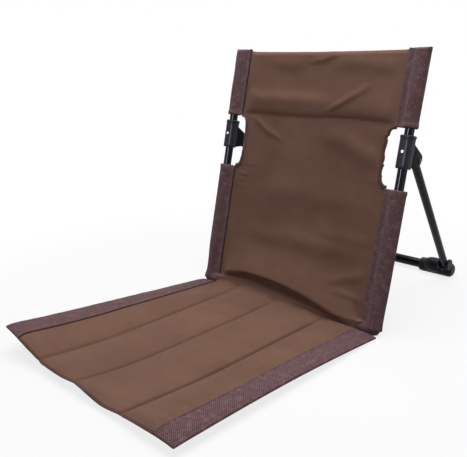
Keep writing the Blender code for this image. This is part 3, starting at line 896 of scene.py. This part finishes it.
def folds_at(x, height):
    """How far the folds stand out at a place, each along a line that wanders a little."""
    total = 0.0
    drift = [FOLD_DRIFT * wave(20 * x, 20 * height, seed) for seed in (1.5, 8.5)]
    spot = Vector((x + drift[0], height + drift[1]))
    for start, end, rise, half in FOLDS:
        run = Vector(end) - Vector(start)
        arm = spot - Vector(start)
        share = arm.dot(run) / run.length_squared
        off = abs(arm.x * run.y - arm.y * run.x) / run.length
        window = smooth(share, -0.35, 0.25) * smooth(share, 1.35, 0.75)
        total += FOLD_GAIN * rise * window * bell(off, 0, half)
    return total


def crease_width(x):
    """How much of the back's foot is tucked under its roll."""
    return CREASE_WIDE * max(0.15, 1 - ((x + 0.01) / 0.2) ** 2)


def headrest(x, height):
    """How far the headrest's cloth stands proud: it bellies out over a sharp step at its foot."""
    above = height - STEP_HEIGHT - 0.004 * wave(6 * x, 1.0, 4.0)
    if above < 0:
        return 0.0
    return STEP_PROUD * (1 - math.exp(-above / STEP_RUN)) * bell(above, 0, BELLY)


def foot_roll(x, height):
    """How far the back's foot rolls forward over the crease, and how far it is drawn in there."""
    wide = crease_width(x)
    size = wide / CREASE_WIDE
    crest = crease_height(x) + wide + 0.007
    if height > crest:
        return ROLL * size * bell(height, crest, ROLL_FADE)
    return size * ((ROLL + TUCK) * smooth(height, crest - ROLL_TURN, crest) - TUCK)


def panel_depth(x, height):
    """Depth of the back cloth's middle surface: sag, headrest, folds, waves and the roll at its foot."""
    across = clamp(abs(x) / edge_of(height))
    above = max(0, height - FRAME_BAR_H - UPRIGHT_D / 2)
    body = math.sqrt(math.sin(math.pi * min(1, above / BACK_LENGTH)))
    sag = PANEL_SAG * body * (1 - across**2.6)
    free = 1 - smooth(across, 0.86, 1.0)
    small = 0.0004 * wave(14 * x, 11 * height, 3.0) + 0.0003 * wave(38 * x, 30 * height, 6.0)
    proud = folds_at(x, height) + headrest(x, height)
    depth = panel_plane(height, across) + sag + free * (small - proud) * smooth(height, 0.008, 0.03)
    depth -= foot_roll(x, height) * (1 - smooth(across, 0.88, 1.0))
    beside_bar = BAR_CLEAR**2 - (height - FRAME_BAR_H) ** 2
    if beside_bar > 0:
        depth = min(depth, TUBE_DEPTH - math.sqrt(beside_bar))
    return depth


def panel_half(side, height):
    """Half width of the cloth, which runs on under the sleeves and stops at the cut-outs."""
    inside = 1 - smooth(height, LOWER_SLEEVE_TOP - 0.005, LOWER_SLEEVE_TOP - 0.001)
    inside += smooth(height, UPPER_SLEEVE_LOW + 0.001, UPPER_SLEEVE_LOW + 0.005)
    tucked = UNDER_SLEEVE * inside * smooth(height, 0.010, 0.016)
    return edge_of(height) + cut_wave(side, height) * (1 - inside) + tucked


def top_droop(x):
    """How far the back's top edge hangs between the sleeves."""
    return TOP_DROOP * max(0, 1 - (x / SLEEVE_IN) ** 2)


def build_panel():
    """The brown back, with a turned-over hem along its top edge."""
    heights = spread(-0.004, 0.05, 46) + spread(0.0525, 0.5190, 186)
    xs = spread(-1, 1, 141)
    rows = []
    top = heights[-1]
    for height in heights:
        row = []
        for share in xs:
            x = share * panel_half(-1 if share < 0 else 1, height)
            droop = top_droop(x) * smooth(height, 0.40, top)
            row.append(on_back(x, panel_depth(x, height), height - droop))
        rows.append(row)
    hem = [(0.002, 0.0002), (0.004, 0.0009), (0.006, 0.0020), (0.0078, 0.0034), (0.0088, 0.0046)]
    hem += [(0.0086, 0.0056), (0.006, 0.0050), (0.003, 0.0036), (0.0, 0.0026), (-0.004, 0.0026)]
    hem += [(-0.0052, 0.0020), (-0.0054, 0.0008)]
    for rise, out in hem:
        height = top + rise
        row = []
        for share in xs:
            x = share * panel_half(1, top)
            free = 1 - smooth(abs(x), SLEEVE_IN - 0.012, SLEEVE_IN - 0.001)
            depth = panel_depth(x, min(height, top)) + out * (0.35 + 0.65 * free)
            row.append(on_back(x, depth, height - top_droop(x)))
        rows.append(row)
    vs = lengths([row[len(xs) // 2] for row in rows])
    us = [SLEEVE_IN * (share + 1) for share in xs]
    made = surface("back_cloth", rows, us, vs, BROWN)
    thicken(made, SKIN, 0.0)
    give(made, "back", "brown_fabric", "back_panel")
    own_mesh(made)


build_panel()


def sleeve_section(height, high, side, upper):
    """Outline of a sleeve at a height, from its front sewn edge round the upright to its rear one."""
    # A lower sleeve is as taut as an upper one's shut end, but doesn't close
    shut = 1.0
    closing = 1.0
    if upper:
        shut = clamp((height - UPRIGHT_TOP - PLUG_HEAD) / (high + 0.0002 - UPRIGHT_TOP - PLUG_HEAD))
        closing = math.sqrt(max(0.0, 1 - shut**2))
    plane = panel_plane(max(height, 0.018))
    foot = smooth(height, 0.03, SLEEVE_FOOT)
    slim = (0.0035 if side < 0 else 0.0010) * smooth(height, 0.09, 0.03) * smooth(height, SLEEVE_FOOT, 0.02)
    loose = 0.0004 * (1 - shut)
    points = []
    steps = (-0.0004, 0.0, 0.0012, 0.003, 0.005, 0.0075, 0.010)
    rises = (0.0006, 0.0017, 0.0026, 0.0025, 0.0021, 0.0020, 0.0024)
    for step, rise in zip(steps, rises):
        x = SLEEVE_IN + step
        ripple = loose * wave(60 * x, 40 * height, 2.0 * side)
        points.append((x, plane - rise + ripple))
    for k in range(31):
        turn = math.radians(-150 + 10 * k)
        around = (1.5 * math.cos(turn), 1.5 * math.sin(turn), 26 * height + 7 * side)
        wander = 0.0009 * wave(*around) * (1 - shut)
        x = UPRIGHT_X + (POCKET_X - slim + wander + 0.0012 * shut) * math.cos(turn)
        deep = (POCKET_D + wander) * closing + 0.0010 * (1 - closing)
        depth = TUBE_DEPTH + deep * math.sin(turn) - 0.0016 * foot * (math.sin(turn) < 0)
        points.append((x, depth))
    for step, rise in ((0.010, 0.0022), (0.006, 0.0018), (0.002, 0.0018), (0.0, 0.0012)):
        points.append((SLEEVE_IN + step, plane + rise))
    return points


def hem_rise(height, end, way):
    """How far the doubled hem at a sleeve's open end stands out. Way is 1 if the sleeve runs up from it."""
    doubled = smooth(height, end + way * HEM, end + way * (HEM - 0.0012))
    return HEM_RISE * doubled * smooth(height, end - way * 0.0004, end + way * 0.001)


def build_sleeve(word, side, kind, low, high):
    """A woven sleeve sewn round an upright: the upper one is shut at its top, the lower one lies taut."""
    upper = kind == "upper"
    heights = spread(low, high, round((high - low) / 0.0022))
    if upper:
        heights = [h for h in heights if h < UPRIGHT_TOP + PLUG_HEAD]
        heights += [high - (high - heights[-1]) * (1 - math.sin(0.5 * math.pi * k / 9)) for k in range(1, 10)]
    rows = []
    for height in heights:
        rise = hem_rise(height, low, 1) if upper else hem_rise(height, high, -1)
        row = []
        for x, depth in sleeve_section(height, high, side, upper):
            out = Vector((x - UPRIGHT_X, depth - TUBE_DEPTH)).normalized()
            inner = smooth(x, UPRIGHT_X - 0.006, SLEEVE_IN + 0.004)
            cut = 0.0 if upper else SLEEVE_SLANT * inner * smooth(height, 0.05, low)
            row.append(on_back(side * (x + out.x * rise), depth + out.y * rise, height + cut))
        if upper:
            raise_corners(row, height, high)
        rows.append(row)
    home = ("back", "woven_band", f"{kind}_sleeve_{word}")
    sew(f"{kind}_band_{word}", rows, 12, BAND, SKIN, home, flip=side > 0, down=not upper)


def raise_corners(row, height, high):
    """The shut top of a sleeve stands up a little at its two corners."""
    near = smooth(height, high - 0.006, high)
    for place in row:
        across = (abs(place.x) - (SLEEVE_IN + WIDTH / 2) / 2) / (SLEEVE_WIDTH / 2)
        place += BACK_TURN @ Vector((0, 0, 0.0012 * near * across**4))


for word, side in SIDES:
    build_sleeve(word, side, "lower", SLEEVE_FOOT + 0.0015 * side, LOWER_SLEEVE_TOP)
    build_sleeve(word, side, "upper", UPPER_SLEEVE_LOW, BACK_LENGTH - 0.001 * side)


def round_bar(x, reach, turn):
    """A point at a distance from the axis of the bar at the back's foot."""
    return on_back(x, TUBE_DEPTH + reach * math.cos(turn), FRAME_BAR_H + reach * math.sin(turn))


def build_sleeve_foot(word, side):
    """Webbing over the front of a frame elbow, which closes the lower sleeve's foot."""
    dome_start = UPRIGHT_X + 0.003
    rows = []
    for x in spread(BAND_IN + 0.0005, FOOT_COVER_END, 41):
        dome = clamp((x - dome_start) / (FOOT_COVER_END + 0.0003 - dome_start))
        radius = FOOT_COVER_R * math.sqrt(1 - dome * dome)
        row = []
        for k in range(15):
            turn = math.radians(-55 + 10 * k)
            reach = radius + 0.0003 * wave(60 * x, 2 * turn, 4.0 + side)
            row.append(round_bar(side * x, reach, math.pi - turn))
        rows.append(row)
    name = f"sleeve_foot_{word}"
    home = ("back", "woven_band")
    sew(name, rows, 6, BAND, FOOT_COVER_THICK, home, (PAST_SELVEDGE_AND_SHADE, PAST_HEM), side > 0)


for word, side in SIDES:
    build_sleeve_foot(word, side)


def cut_path(side, count):
    """Points up a cut-out's edge, as (half width, height) pairs."""
    points = []
    for turn in spread(-math.pi / 2, math.pi / 2, count):
        rise = math.copysign(abs(math.sin(turn)) ** (2 / CUT_SQUARE), turn)
        height = CUT_MIDDLE + CUT_HALF * rise
        inward = CUT_DEPTH * max(0, math.cos(turn)) ** (2 / CUT_SQUARE)
        points.append(Vector((PANEL_EDGE - inward + cut_wave(side, height), height)))
    return points


def build_binding(word, side):
    """Tape folded over the raw edge of a cut-out."""
    section = [(-0.0046, -0.0009), (-0.0042, -0.0014), (-0.0018, -0.0018), (-0.0002, -0.0018)]
    section += [(0.0010, -0.0011), (0.0014, 0.0), (0.0010, 0.0011)]
    section += [(-0.0002, 0.0016), (-0.0018, 0.0016), (-0.0036, 0.0012)]
    path = cut_path(side, 121)
    rows = []
    for number, spot in enumerate(path):
        ahead = path[min(number + 2, len(path) - 1)] - path[max(number - 2, 0)]
        out = Vector((ahead.y, -ahead.x)).normalized()
        pucker = 0.0006 * wave(160 * spot.y, 5.0 * side, 9.0)
        depth = panel_depth(side * spot.x, spot.y) + pucker
        row = []
        for reach, behind in section:
            place = spot + out * reach
            row.append(on_back(side * place.x, depth + behind, place.y))
        rows.append(row)
    look = MAUVE_TAPE if side < 0 else TAPE
    name = f"cutout_tape_{word}"
    home = ("back", "woven_band", f"cutout_binding_{word}")
    sew(name, rows, 5, look, TAPE_THICK, home, (0.003, PAST_HEM), side > 0)


for word, side in SIDES:
    build_binding(word, side)


def build_channel():
    """The turned-up foot of the back, which goes under the frame's crossbar and is sewn on behind."""
    radius = UPRIGHT_D / 2 + 0.0012
    rows = []
    for x in spread(-SLEEVE_IN + 0.002, SLEEVE_IN - 0.002, 90):
        row = []
        for k in range(21):
            turn = math.radians(195 + 9.2 * k)
            wander = 0.0005 * wave(30 * x, 2 * math.cos(turn), 2 * math.sin(turn))
            row.append(round_bar(x, radius + wander * (math.sin(turn) > -0.5), turn))
        for rise, back in ((-0.012, 0.0062), (-0.006, 0.0034), (0.0, 0.0014), (0.003, 0.0013)):
            height = CHANNEL_SEAM + rise
            row.append(on_back(x, panel_depth(x, height) + back, height))
        rows.append(row)
    sew("bar_channel", rows, 10, BROWN, CHANNEL_THICK, ("back", "brown_fabric"))


build_channel()


def build_crease():
    """The cloth in the crease: it curves from the seat up into the back's fold."""
    front = SEAT_BACK - CREASE_FRONT
    rows = []
    for x in pad_columns(BAND_IN - 0.003):
        low = Vector((x, front, cover_z(x, front) + 0.0002))
        height = max(-0.002, crease_height(x))
        top = on_back(x, panel_depth(x, height) - SKIN / 2 - 0.0006, height)
        bend = Vector((x, front + 0.8 * (top.y - front), low.z - 0.0006))
        row = []
        for share in (0.0, 0.08, 0.18, 0.30, 0.42, 0.54, 0.66, 0.77, 0.86, 0.94, 1.0):
            row.append(low.lerp(bend, share).lerp(bend.lerp(top, share), share))
        rows.append(row)
    us = lengths(rows[len(rows) // 2])
    vs = lengths([row[8] for row in rows])
    made = surface("hinge_cloth", rows, us, vs, BROWN, flip=True)
    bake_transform(made)


build_crease()

# Tubes, plugs and the moulded corners


def barrel(name, corner, side, radius, inward, reach, look):
    """The part of a moulded corner round the bar's end, with a domed outer end and a lip at its mouth."""
    dome = reach * 0.5
    arc = [k * math.pi / 12 for k in range(7)]
    profile = [(0, reach)]
    profile += [((radius - dome) + dome * math.sin(a), reach - dome + dome * math.cos(a)) for a in arc]
    profile += [(radius, 0.006 - inward), (radius - 0.0006, 0.005 - inward)]
    profile += [(radius - 0.0006, 0.001 - inward), (radius - 0.0016, -inward), (0, -inward)]
    return turned(name, profile, aim(corner, (side, 0, 0)), look, 48)


def neck(name, corner, post, rim, base, collar, look):
    """The part of a moulded corner round the post."""
    profile = [(0, collar), (rim - 0.001, collar), (rim, collar - 0.001)]
    profile += [(rim, collar - 0.003), (base, 0), (0, 0)]
    return turned(name, profile, aim(corner, post), look, 40)


def lug(name, centre, radius, half, look):
    """A round cheek with soft edges, facing along X."""
    edge = 0.0012
    upper = [(0, half), (radius - edge, half), (radius, half - edge)]
    profile = upper + [(r, -z) for r, z in reversed(upper)]
    return turned(name, profile, aim(centre, (1, 0, 0)), look, 40)


def lump(name, centre, reach, look):
    """A rounded lump with its own reach along X, Y and Z."""
    profile = [(math.sin(a), math.cos(a)) for a in spread(0, math.pi, 17)]
    return turned(name, profile, Matrix.Translation(centre) @ Matrix.Diagonal((*reach, 1)), look, 32)


def fused(pieces, look, rounds):
    """Joins overlapping pieces into one moulding with soft fillets, which rests on the ground."""
    made = pieces[0]
    joined = bmesh.new()
    for piece in pieces:
        joined.from_mesh(piece.data)
    joined.to_mesh(made.data)
    joined.free()
    for piece in pieces[1:]:
        bpy.data.objects.remove(piece)
    grow = made.modifiers.new("voxels", "REMESH")
    grow.mode = "VOXEL"
    grow.voxel_size = VOXEL
    soft = made.modifiers.new("fillet", "SMOOTH")
    soft.factor = 0.5
    soft.iterations = rounds
    graph = bpy.context.evaluated_depsgraph_get()
    data = bpy.data.meshes.new_from_object(made.evaluated_get(graph))
    made.modifiers.clear()
    made.data = data
    for vertex in data.vertices:
        vertex.co.z = max(vertex.co.z, 0.0002)
    tidy_mesh(data, 1.2)
    data.materials.clear()
    data.materials.append(look)
    return made


for word, side in SIDES:
    place = on_back(side * UPRIGHT_X, TUBE_DEPTH, FRAME_BAR_H)
    up = BACK_TURN @ Vector((0, 0, 1))
    home = ("back", "gloss_black_tube", f"upright_{word}")
    rod(f"post_{word}", UPRIGHT_D / 2, place, up, UPRIGHT_TOP - FRAME_BAR_H, GLOSS, *home)
    name = f"frame_corner_{word}"
    radius, reach = FRAME_ELBOW_R - 0.0008, FRAME_ELBOW_R - 0.002
    inner = barrel(name, place, side, radius, FRAME_ELBOW_IN, reach, BLACK_PLASTIC)
    outer = neck(name + "_neck", place, up, FRAME_NECK_R, FRAME_NECK_R, FRAME_COLLAR, BLACK_PLASTIC)
    give(fused([inner, outer], BLACK_PLASTIC, 6), "back", "charcoal_plastic", f"frame_elbow_{word}")

half = UPRIGHT_X - UPRIGHT_D / 2 - 2 * CLEAR - BAR_END_GAP
start = on_back(-half, TUBE_DEPTH, FRAME_BAR_H)
home = ("back", "gloss_black_tube", "frame_crossbar")
rod("foot_bar", UPRIGHT_D / 2, start, (1, 0, 0), 2 * half, GLOSS, *home)


def build_foot(word, side, foot, along):
    """A rear foot: a barrel round the bar, a bulge up to the leg, and a fork of two cheeks that holds it."""
    name = f"foot_corner_{word}"
    pieces = [barrel(name, foot, side, FOOT_ELBOW_R, FOOT_ELBOW_IN, FOOT_ELBOW_OUT, FOOT_PLASTIC)]
    sizes = (FOOT_NECK_R, FOOT_NECK_BASE_R, FOOT_COLLAR)
    pieces.append(neck(name + "_neck", foot, along, *sizes, FOOT_PLASTIC))
    bulge = foot + Vector((side * -0.027, 0, 0)) + along * 0.0085
    pieces.append(lump(name + "_bulge", bulge, FOOT_BULGE, FOOT_PLASTIC))
    for cheek in (-1, 1):
        spot = foot + along * 0.0245 + Vector((cheek * 0.0108, 0, 0))
        pieces.append(lug(f"{name}_lug_{cheek}", spot, FOOT_LUG_R, FOOT_LUG_HALF, FOOT_PLASTIC))
    return fused(pieces, FOOT_PLASTIC, 5)


for word, side in SIDES:
    hub = PIVOT + Vector((side * UPRIGHT_X, 0, 0))
    foot = FOOT + Vector((side * FOOT_X, 0, 0))
    along = (hub - foot).normalized()
    length = (hub - foot).length + LEG_PAST_PIN
    home = ("rear_leg", "satin_grey_tube", f"leg_tube_{word}")
    rod(f"prop_leg_{word}", LEG_D / 2, foot, along, length, SATIN, *home)
    give(build_foot(word, side, foot, along), "rear_leg", "charcoal_plastic", f"foot_elbow_{word}")

half = FOOT_X - LEG_D / 2 - 2 * CLEAR - BAR_END_GAP
start = FOOT - Vector((half, 0, 0))
home = ("rear_leg", "gloss_black_tube", "rear_crossbar")
rod("ground_bar", BAR_D / 2, start, (1, 0, 0), 2 * half, GLOSS, *home)

for word, _ in SIDES:
    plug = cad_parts[f"upright_plug_{word}"]
    plug.data.materials.clear()
    plug.data.materials.append(BLACK_PLASTIC)

# Brackets, rivets and pins


def rounded_square(half, corner, steps=64):
    """Points of a square with rounded corners, as (x, y) pairs, closed on its first point."""
    core = half - corner
    points = []
    for turn in spread(0, 2 * math.pi, steps + 1):
        c, s = math.cos(turn), math.sin(turn)
        reach = half / max(abs(c), abs(s))
        if reach * min(abs(c), abs(s)) > core:
            b = core * (abs(c) + abs(s))
            reach = b + math.sqrt(max(0, b * b - 2 * core * core + corner * corner))
        points.append((reach * c, reach * s))
    return points


def circle(radius, steps=64):
    """Points of a circle, as (x, y) pairs, closed on its first point."""
    return [(radius * math.cos(a), radius * math.sin(a)) for a in spread(0, 2 * math.pi, steps + 1)]


def plate(shape, outline, low, high, place, edge=0.0007):
    """Adds a flat plate with softened edges: an outline of (depth, height) pairs between two X values."""
    face = shape.faces.new([shape.verts.new((low, d, h)) for d, h in outline])
    grown = bmesh.ops.extrude_face_region(shape, geom=[face])
    raised = [v for v in grown["geom"] if isinstance(v, bmesh.types.BMVert)]
    bmesh.ops.translate(shape, verts=raised, vec=(high - low, 0, 0))
    edges = list({e for v in [*face.verts, *raised] for e in v.link_edges})
    made = bmesh.ops.bevel(shape, geom=edges, offset=edge, segments=2, profile=0.6, affect="EDGES")
    verts = {v for f in made["faces"] for v in f.verts}
    bmesh.ops.transform(shape, matrix=place, verts=list(verts))


def bracket_sleeve(word, side, low, high):
    """The rounded sleeve of a bracket, bored for the upright."""
    half = BRACKET_HALF
    levels = [(half - 0.0030, low), (half - 0.0010, low + 0.0003), (half, low + 0.0014), (half, low + 0.006)]
    levels += [(half, z) for z in spread(low + 0.012, high - 0.012, 8)]
    levels += [(half, high - 0.0062), (half + 0.0005, high - 0.0052), (half + 0.0006, high - 0.002)]
    levels += [(half + 0.0002, high - 0.0008), (half - 0.0012, high - 0.0001), (half - 0.0030, high)]
    rings = [(rounded_square(size, min(BRACKET_ROUND, size - 0.001)), height) for size, height in levels]
    rings += [(circle(UPRIGHT_D / 2 + CLEAR), height) for height in (high, low)]
    rings.append(rings[0])
    centre = Vector((side * UPRIGHT_X, TUBE_DEPTH, 0))
    rows = [[BACK_FRAME @ (centre + Vector((x, y, height))) for x, y in ring] for ring, height in rings]
    us = [half * turn for turn in spread(0, 2 * math.pi, len(rows[0]))]
    vs = lengths([row[0] for row in rows])
    return surface(f"bracket_{word}", rows, us, vs, CHARCOAL, closed=True)


def bracket_fin(side, low, high):
    """The slotted fin behind a bracket's sleeve: two cheeks with a boss each, and a roof between them."""
    shape = bmesh.new()
    tip = PIVOT_DEPTH + FIN_PAST_PIN
    crest = PIVOT_HEIGHT + 0.011
    start = high - 0.014
    front = TUBE_DEPTH + BRACKET_HALF - 0.0065
    outline = [(front, low + 0.0025), (PIVOT_DEPTH - 0.004, low + 0.007)]
    outline += [(tip - 0.003, PIVOT_HEIGHT - 0.006), (tip, PIVOT_HEIGHT + 0.001)]
    outline += [(tip, PIVOT_HEIGHT + 0.0075), (tip - 0.002, crest), (front, start)]
    roof = [(front, start - WEB - 0.001), (tip - 0.003, crest - WEB)]
    roof += [(tip - 0.0012, crest - 0.0004), (front, start - 0.0004)]
    boss = [(PIVOT_DEPTH + d, PIVOT_HEIGHT + h) for d, h in circle(BOSS_R, 32)[:-1]]
    place = BACK_FRAME @ Matrix.Translation((side * UPRIGHT_X, 0, 0))
    for face in (side * FIN_OUT, -side * FIN_IN):
        way = math.copysign(1, face)
        plate(shape, outline, *sorted((face - way * CHEEK, face)), place, 0.0009)
        plate(shape, boss, *sorted((face - way * 0.0004, face + way * 0.0005)), place, 0.0002)
    ends = (side * (FIN_OUT - CHEEK / 2), -side * (FIN_IN - CHEEK / 2))
    plate(shape, roof, *sorted(ends), place, 0.0004)
    bmesh.ops.recalc_face_normals(shape, faces=shape.faces)
    # The fin takes the second material, whose black is partly painted shade
    for face in shape.faces:
        face.material_index = 1
    return shape


def build_bracket(word, side):
    """A bracket in one piece: charcoal sleeve, black fin; the fin's black is partly its own colour and partly
    painted shade.
    """
    span = (BRACKET_LOW, BRACKET_LOW + BRACKET_LENGTH)
    made = bracket_sleeve(word, side, *span)
    # Black second material for the fin, partly painted shade
    made.data.materials.append(BLACK_PLASTIC)
    shape = bracket_fin(side, *span)
    shape.from_mesh(made.data)
    shape.to_mesh(made.data)
    shape.free()
    tidy_mesh(made.data, 0.9)
    give(made, "back", "charcoal_plastic", f"leg_bracket_{word}")


for word, side in SIDES:
    build_bracket(word, side)
    x = side * UPRIGHT_X
    arc = [k * math.pi / 14 for k in range(8)]
    dome = [(RIVET_HEAD_R * math.sin(a), 0.0004 + (RIVET_HEAD - 0.0004) * math.cos(a)) for a in arc]
    dome += [(RIVET_HEAD_R, 0.0), (RIVET_HEAD_R - 0.001, -0.0002), (0, -0.0002)]
    forward = BACK_TURN @ Vector((0, -1, 0))
    spot = on_back(x, TUBE_DEPTH - BRACKET_HALF, BRACKET_LOW + BRACKET_LENGTH / 2)
    rivet = turned(f"rivet_head_{word}", dome, aim(spot, forward), STEEL, 32)
    give(rivet, "back", "rivet_steel", f"bracket_rivet_{word}")
    grip = (FIN_OUT + FIN_IN) / 2 + CLEAR
    arc = [k * math.pi / 12 for k in range(7)]
    ends = [(PIN_HEAD_R * math.sin(a), grip + PIN_HEAD * (0.35 + 0.65 * math.cos(a))) for a in arc]
    ends += [(PIN_HEAD_R, grip), (PIN_R, grip)]
    profile = ends + [(r, -z) for r, z in reversed(ends)]
    pin_x = x + side * (FIN_OUT - FIN_IN) / 2
    place = aim(on_back(pin_x, PIVOT_DEPTH, PIVOT_HEIGHT), (1, 0, 0))
    pin = turned(f"hinge_pin_{word}", profile, place, DARK_STEEL, 32)
    give(pin, "back", "rivet_steel", f"pivot_pin_{word}")

# Stitching


def seat_line(x, top, rise=0.0):
    """A sewing line along the seat at one X."""
    ys = [SEAT_BACK - share * SEAT_RUN for share in spread(0.045, 0.985, 120)]
    return [((x, y, top(x, y) + rise), (0, 0, 1)) for y in ys]


def back_line(side, x, rise, low, high):
    """A sewing line up a sleeve's flat strip."""
    out = BACK_TURN @ Vector((0, -1, 0))
    return [(on_back(side * x, panel_plane(h) - rise, h), out) for h in spread(low, high, 60)]


seat_seams = [seat_line(x, cover_z) for x in SEAT_LINES[1:-1]]
give(stitches("seat_seam_thread", seat_seams, THREAD), "seat", "brown_fabric")
band_seams = []
for _, side in SIDES:
    band_seams.append(seat_line(side * (BAND_IN + SEAM_IN), band_top, 0.001))
    band_seams.append(seat_line(side * (WIDTH / 2 - 0.0075), band_top))
give(stitches("seat_band_thread", band_seams, DARK_THREAD), "seat", "woven_band")
sleeve_seams = []
for _, side in SIDES:
    for low, high in ((0.030, LOWER_SLEEVE_TOP - 0.002), (UPPER_SLEEVE_LOW + 0.002, UPRIGHT_TOP)):
        sleeve_seams.append(back_line(side, SLEEVE_IN + SEAM_IN, 0.0026, low, high))
        sleeve_seams.append(back_line(side, SLEEVE_IN + 0.0095, 0.0022, low, high))
give(stitches("sleeve_thread", sleeve_seams, DARK_THREAD), "back", "woven_band")

# Camera, light and floor

PHOTO_WIDTH, PHOTO_HEIGHT = 467, 457
CAMERA_PLACE = Vector((0.8302, -0.91485, 0.5374))
CAMERA_YAW = math.radians(45.542)
CAMERA_PITCH = math.radians(17.61)
CAMERA_ROLL = math.radians(-1.633)
FOCAL_PX = 638.56
CENTRE_PX = (231.16, 246.26)
SENSOR = 36.0


def build_camera():
    """The camera that was fitted to the photograph."""
    lens = bpy.data.cameras.new("photo_camera")
    lens.sensor_width = SENSOR
    lens.lens = SENSOR * FOCAL_PX / PHOTO_WIDTH
    lens.shift_x = (PHOTO_WIDTH / 2 - CENTRE_PX[0]) / PHOTO_WIDTH
    lens.shift_y = (CENTRE_PX[1] - PHOTO_HEIGHT / 2) / PHOTO_WIDTH
    camera = link("photo_camera", lens)
    turn = Matrix.Rotation(CAMERA_YAW, 4, "Z") @ Matrix.Rotation(math.pi / 2 - CAMERA_PITCH, 4, "X")
    turn @= Matrix.Rotation(CAMERA_ROLL, 4, "Z")
    camera.matrix_world = Matrix.Translation(CAMERA_PLACE) @ turn
    bpy.context.scene.camera = camera


AMBIENT = 0.04
AMBIENT_TINT = (1.0, 0.985, 0.97)
FLOOR_REACH = 30.0
FLOOR_DROP = 0.0006
FLOOR_PALE = 0.85
FLOOR_BOUNCE = 0.30
FLOOR_SHARE = 0.80
FLOOR_NEAR = 0.45
FLOOR_FAR = 0.95


def seen_rays(recipe):
    """1 for rays that show the background to the camera, also in gloss and through clear things."""
    path = recipe.add("LightPath").outputs
    seen = recipe.math("MAXIMUM", path["Is Camera Ray"], path["Is Glossy Ray"])
    return recipe.math("MAXIMUM", seen, path["Is Transmission Ray"])


def mix_shaders(recipe, share, first, second, output):
    """Mixes two shaders into the tree's output."""
    mix = recipe.add("MixShader", {0: share, 1: first.outputs[0], 2: second.outputs[0]})
    recipe.feed(recipe.nodes[output], {"Surface": mix.outputs[0]})


def build_world():
    """Faint light all round, which shows as white."""
    world = bpy.data.worlds.new("studio")
    bpy.context.scene.world = world
    recipe = Recipe(world)
    light = recipe.nodes["Background"]
    recipe.feed(light, {"Color": AMBIENT_TINT, "Strength": AMBIENT})
    white = recipe.add("Background", {"Color": WHITE, "Strength": 1.0})
    mix_shaders(recipe, seen_rays(recipe), light, white, "World Output")


def build_floor():
    """A wide pale floor that shows as white and keeps part of the shadow."""
    data = bpy.data.meshes.new("studio_floor")
    corners = ((-1, -1), (1, -1), (1, 1), (-1, 1))
    data.from_pydata([(FLOOR_REACH * x, FLOOR_REACH * y, 0) for x, y in corners], [], [(0, 1, 2, 3)])
    floor = link("studio_floor", data)
    floor.location.z = -FLOOR_DROP
    recipe = new_look("pale_floor", "Object")
    recipe.nodes.remove(recipe.nodes["Principled BSDF"])
    seen = seen_rays(recipe)
    matte = recipe.add("BsdfDiffuse", {"Color": recipe.between(seen, FLOOR_BOUNCE, FLOOR_PALE)})
    white = recipe.add("Emission", {"Color": WHITE, "Strength": 1.0})
    away = recipe.add("VectorMath", {0: recipe.place}, operation="LENGTH").outputs["Value"]
    fade = recipe.step(away, FLOOR_NEAR, FLOOR_FAR, FLOOR_SHARE, 1.0)
    mix_shaders(recipe, recipe.times(seen, fade), matte, white, "Material Output")
    data.materials.append(recipe.owner)


def build_lamp(name, place, target, width, length, power, gloss_only=False):
    """A flat lamp that faces a target, with its longer side upright; it can be there for gloss alone."""
    lamp = bpy.data.lights.new(name, "AREA")
    lamp.shape = "RECTANGLE"
    lamp.size = width
    lamp.size_y = length
    lamp.energy = power
    made = link(name, lamp)
    behind = (Vector(place) - Vector(target)).normalized()
    across = Vector((0, 0, 1)).cross(behind)
    across = across.normalized() if across.length > 0.01 else Vector((1, 0, 0))
    turn = Matrix((across, behind.cross(across), behind)).transposed()
    made.matrix_world = Matrix.Translation(place) @ turn.to_4x4()
    made.visible_diffuse = not gloss_only


build_camera()
build_world()
build_floor()
build_lamp("softbox_above", (0.0, 0.10, 1.7), (0.0, 0.10, 0.0), 1.6, 1.6, 35.0)
build_lamp("softbox_behind", (0.3, 2.2, 0.9), (0.0, 0.2, 0.25), 1.2, 1.2, 6.0)
build_lamp("strip_front", (0.25, -1.75, 0.85), (0.20, 0.12, 0.33), 0.07, 0.5, 3.2)
build_lamp("gloss_front", (0.05, -1.70, 0.85), (0.20, 0.12, 0.33), 0.45, 0.9, 36.0, gloss_only=True)
build_lamp("strip_right", (1.85, 0.30, 0.45), (0.22, 0.14, 0.33), 0.09, 0.7, 2.8)
bpy.context.scene.view_settings.view_transform = "Standard"
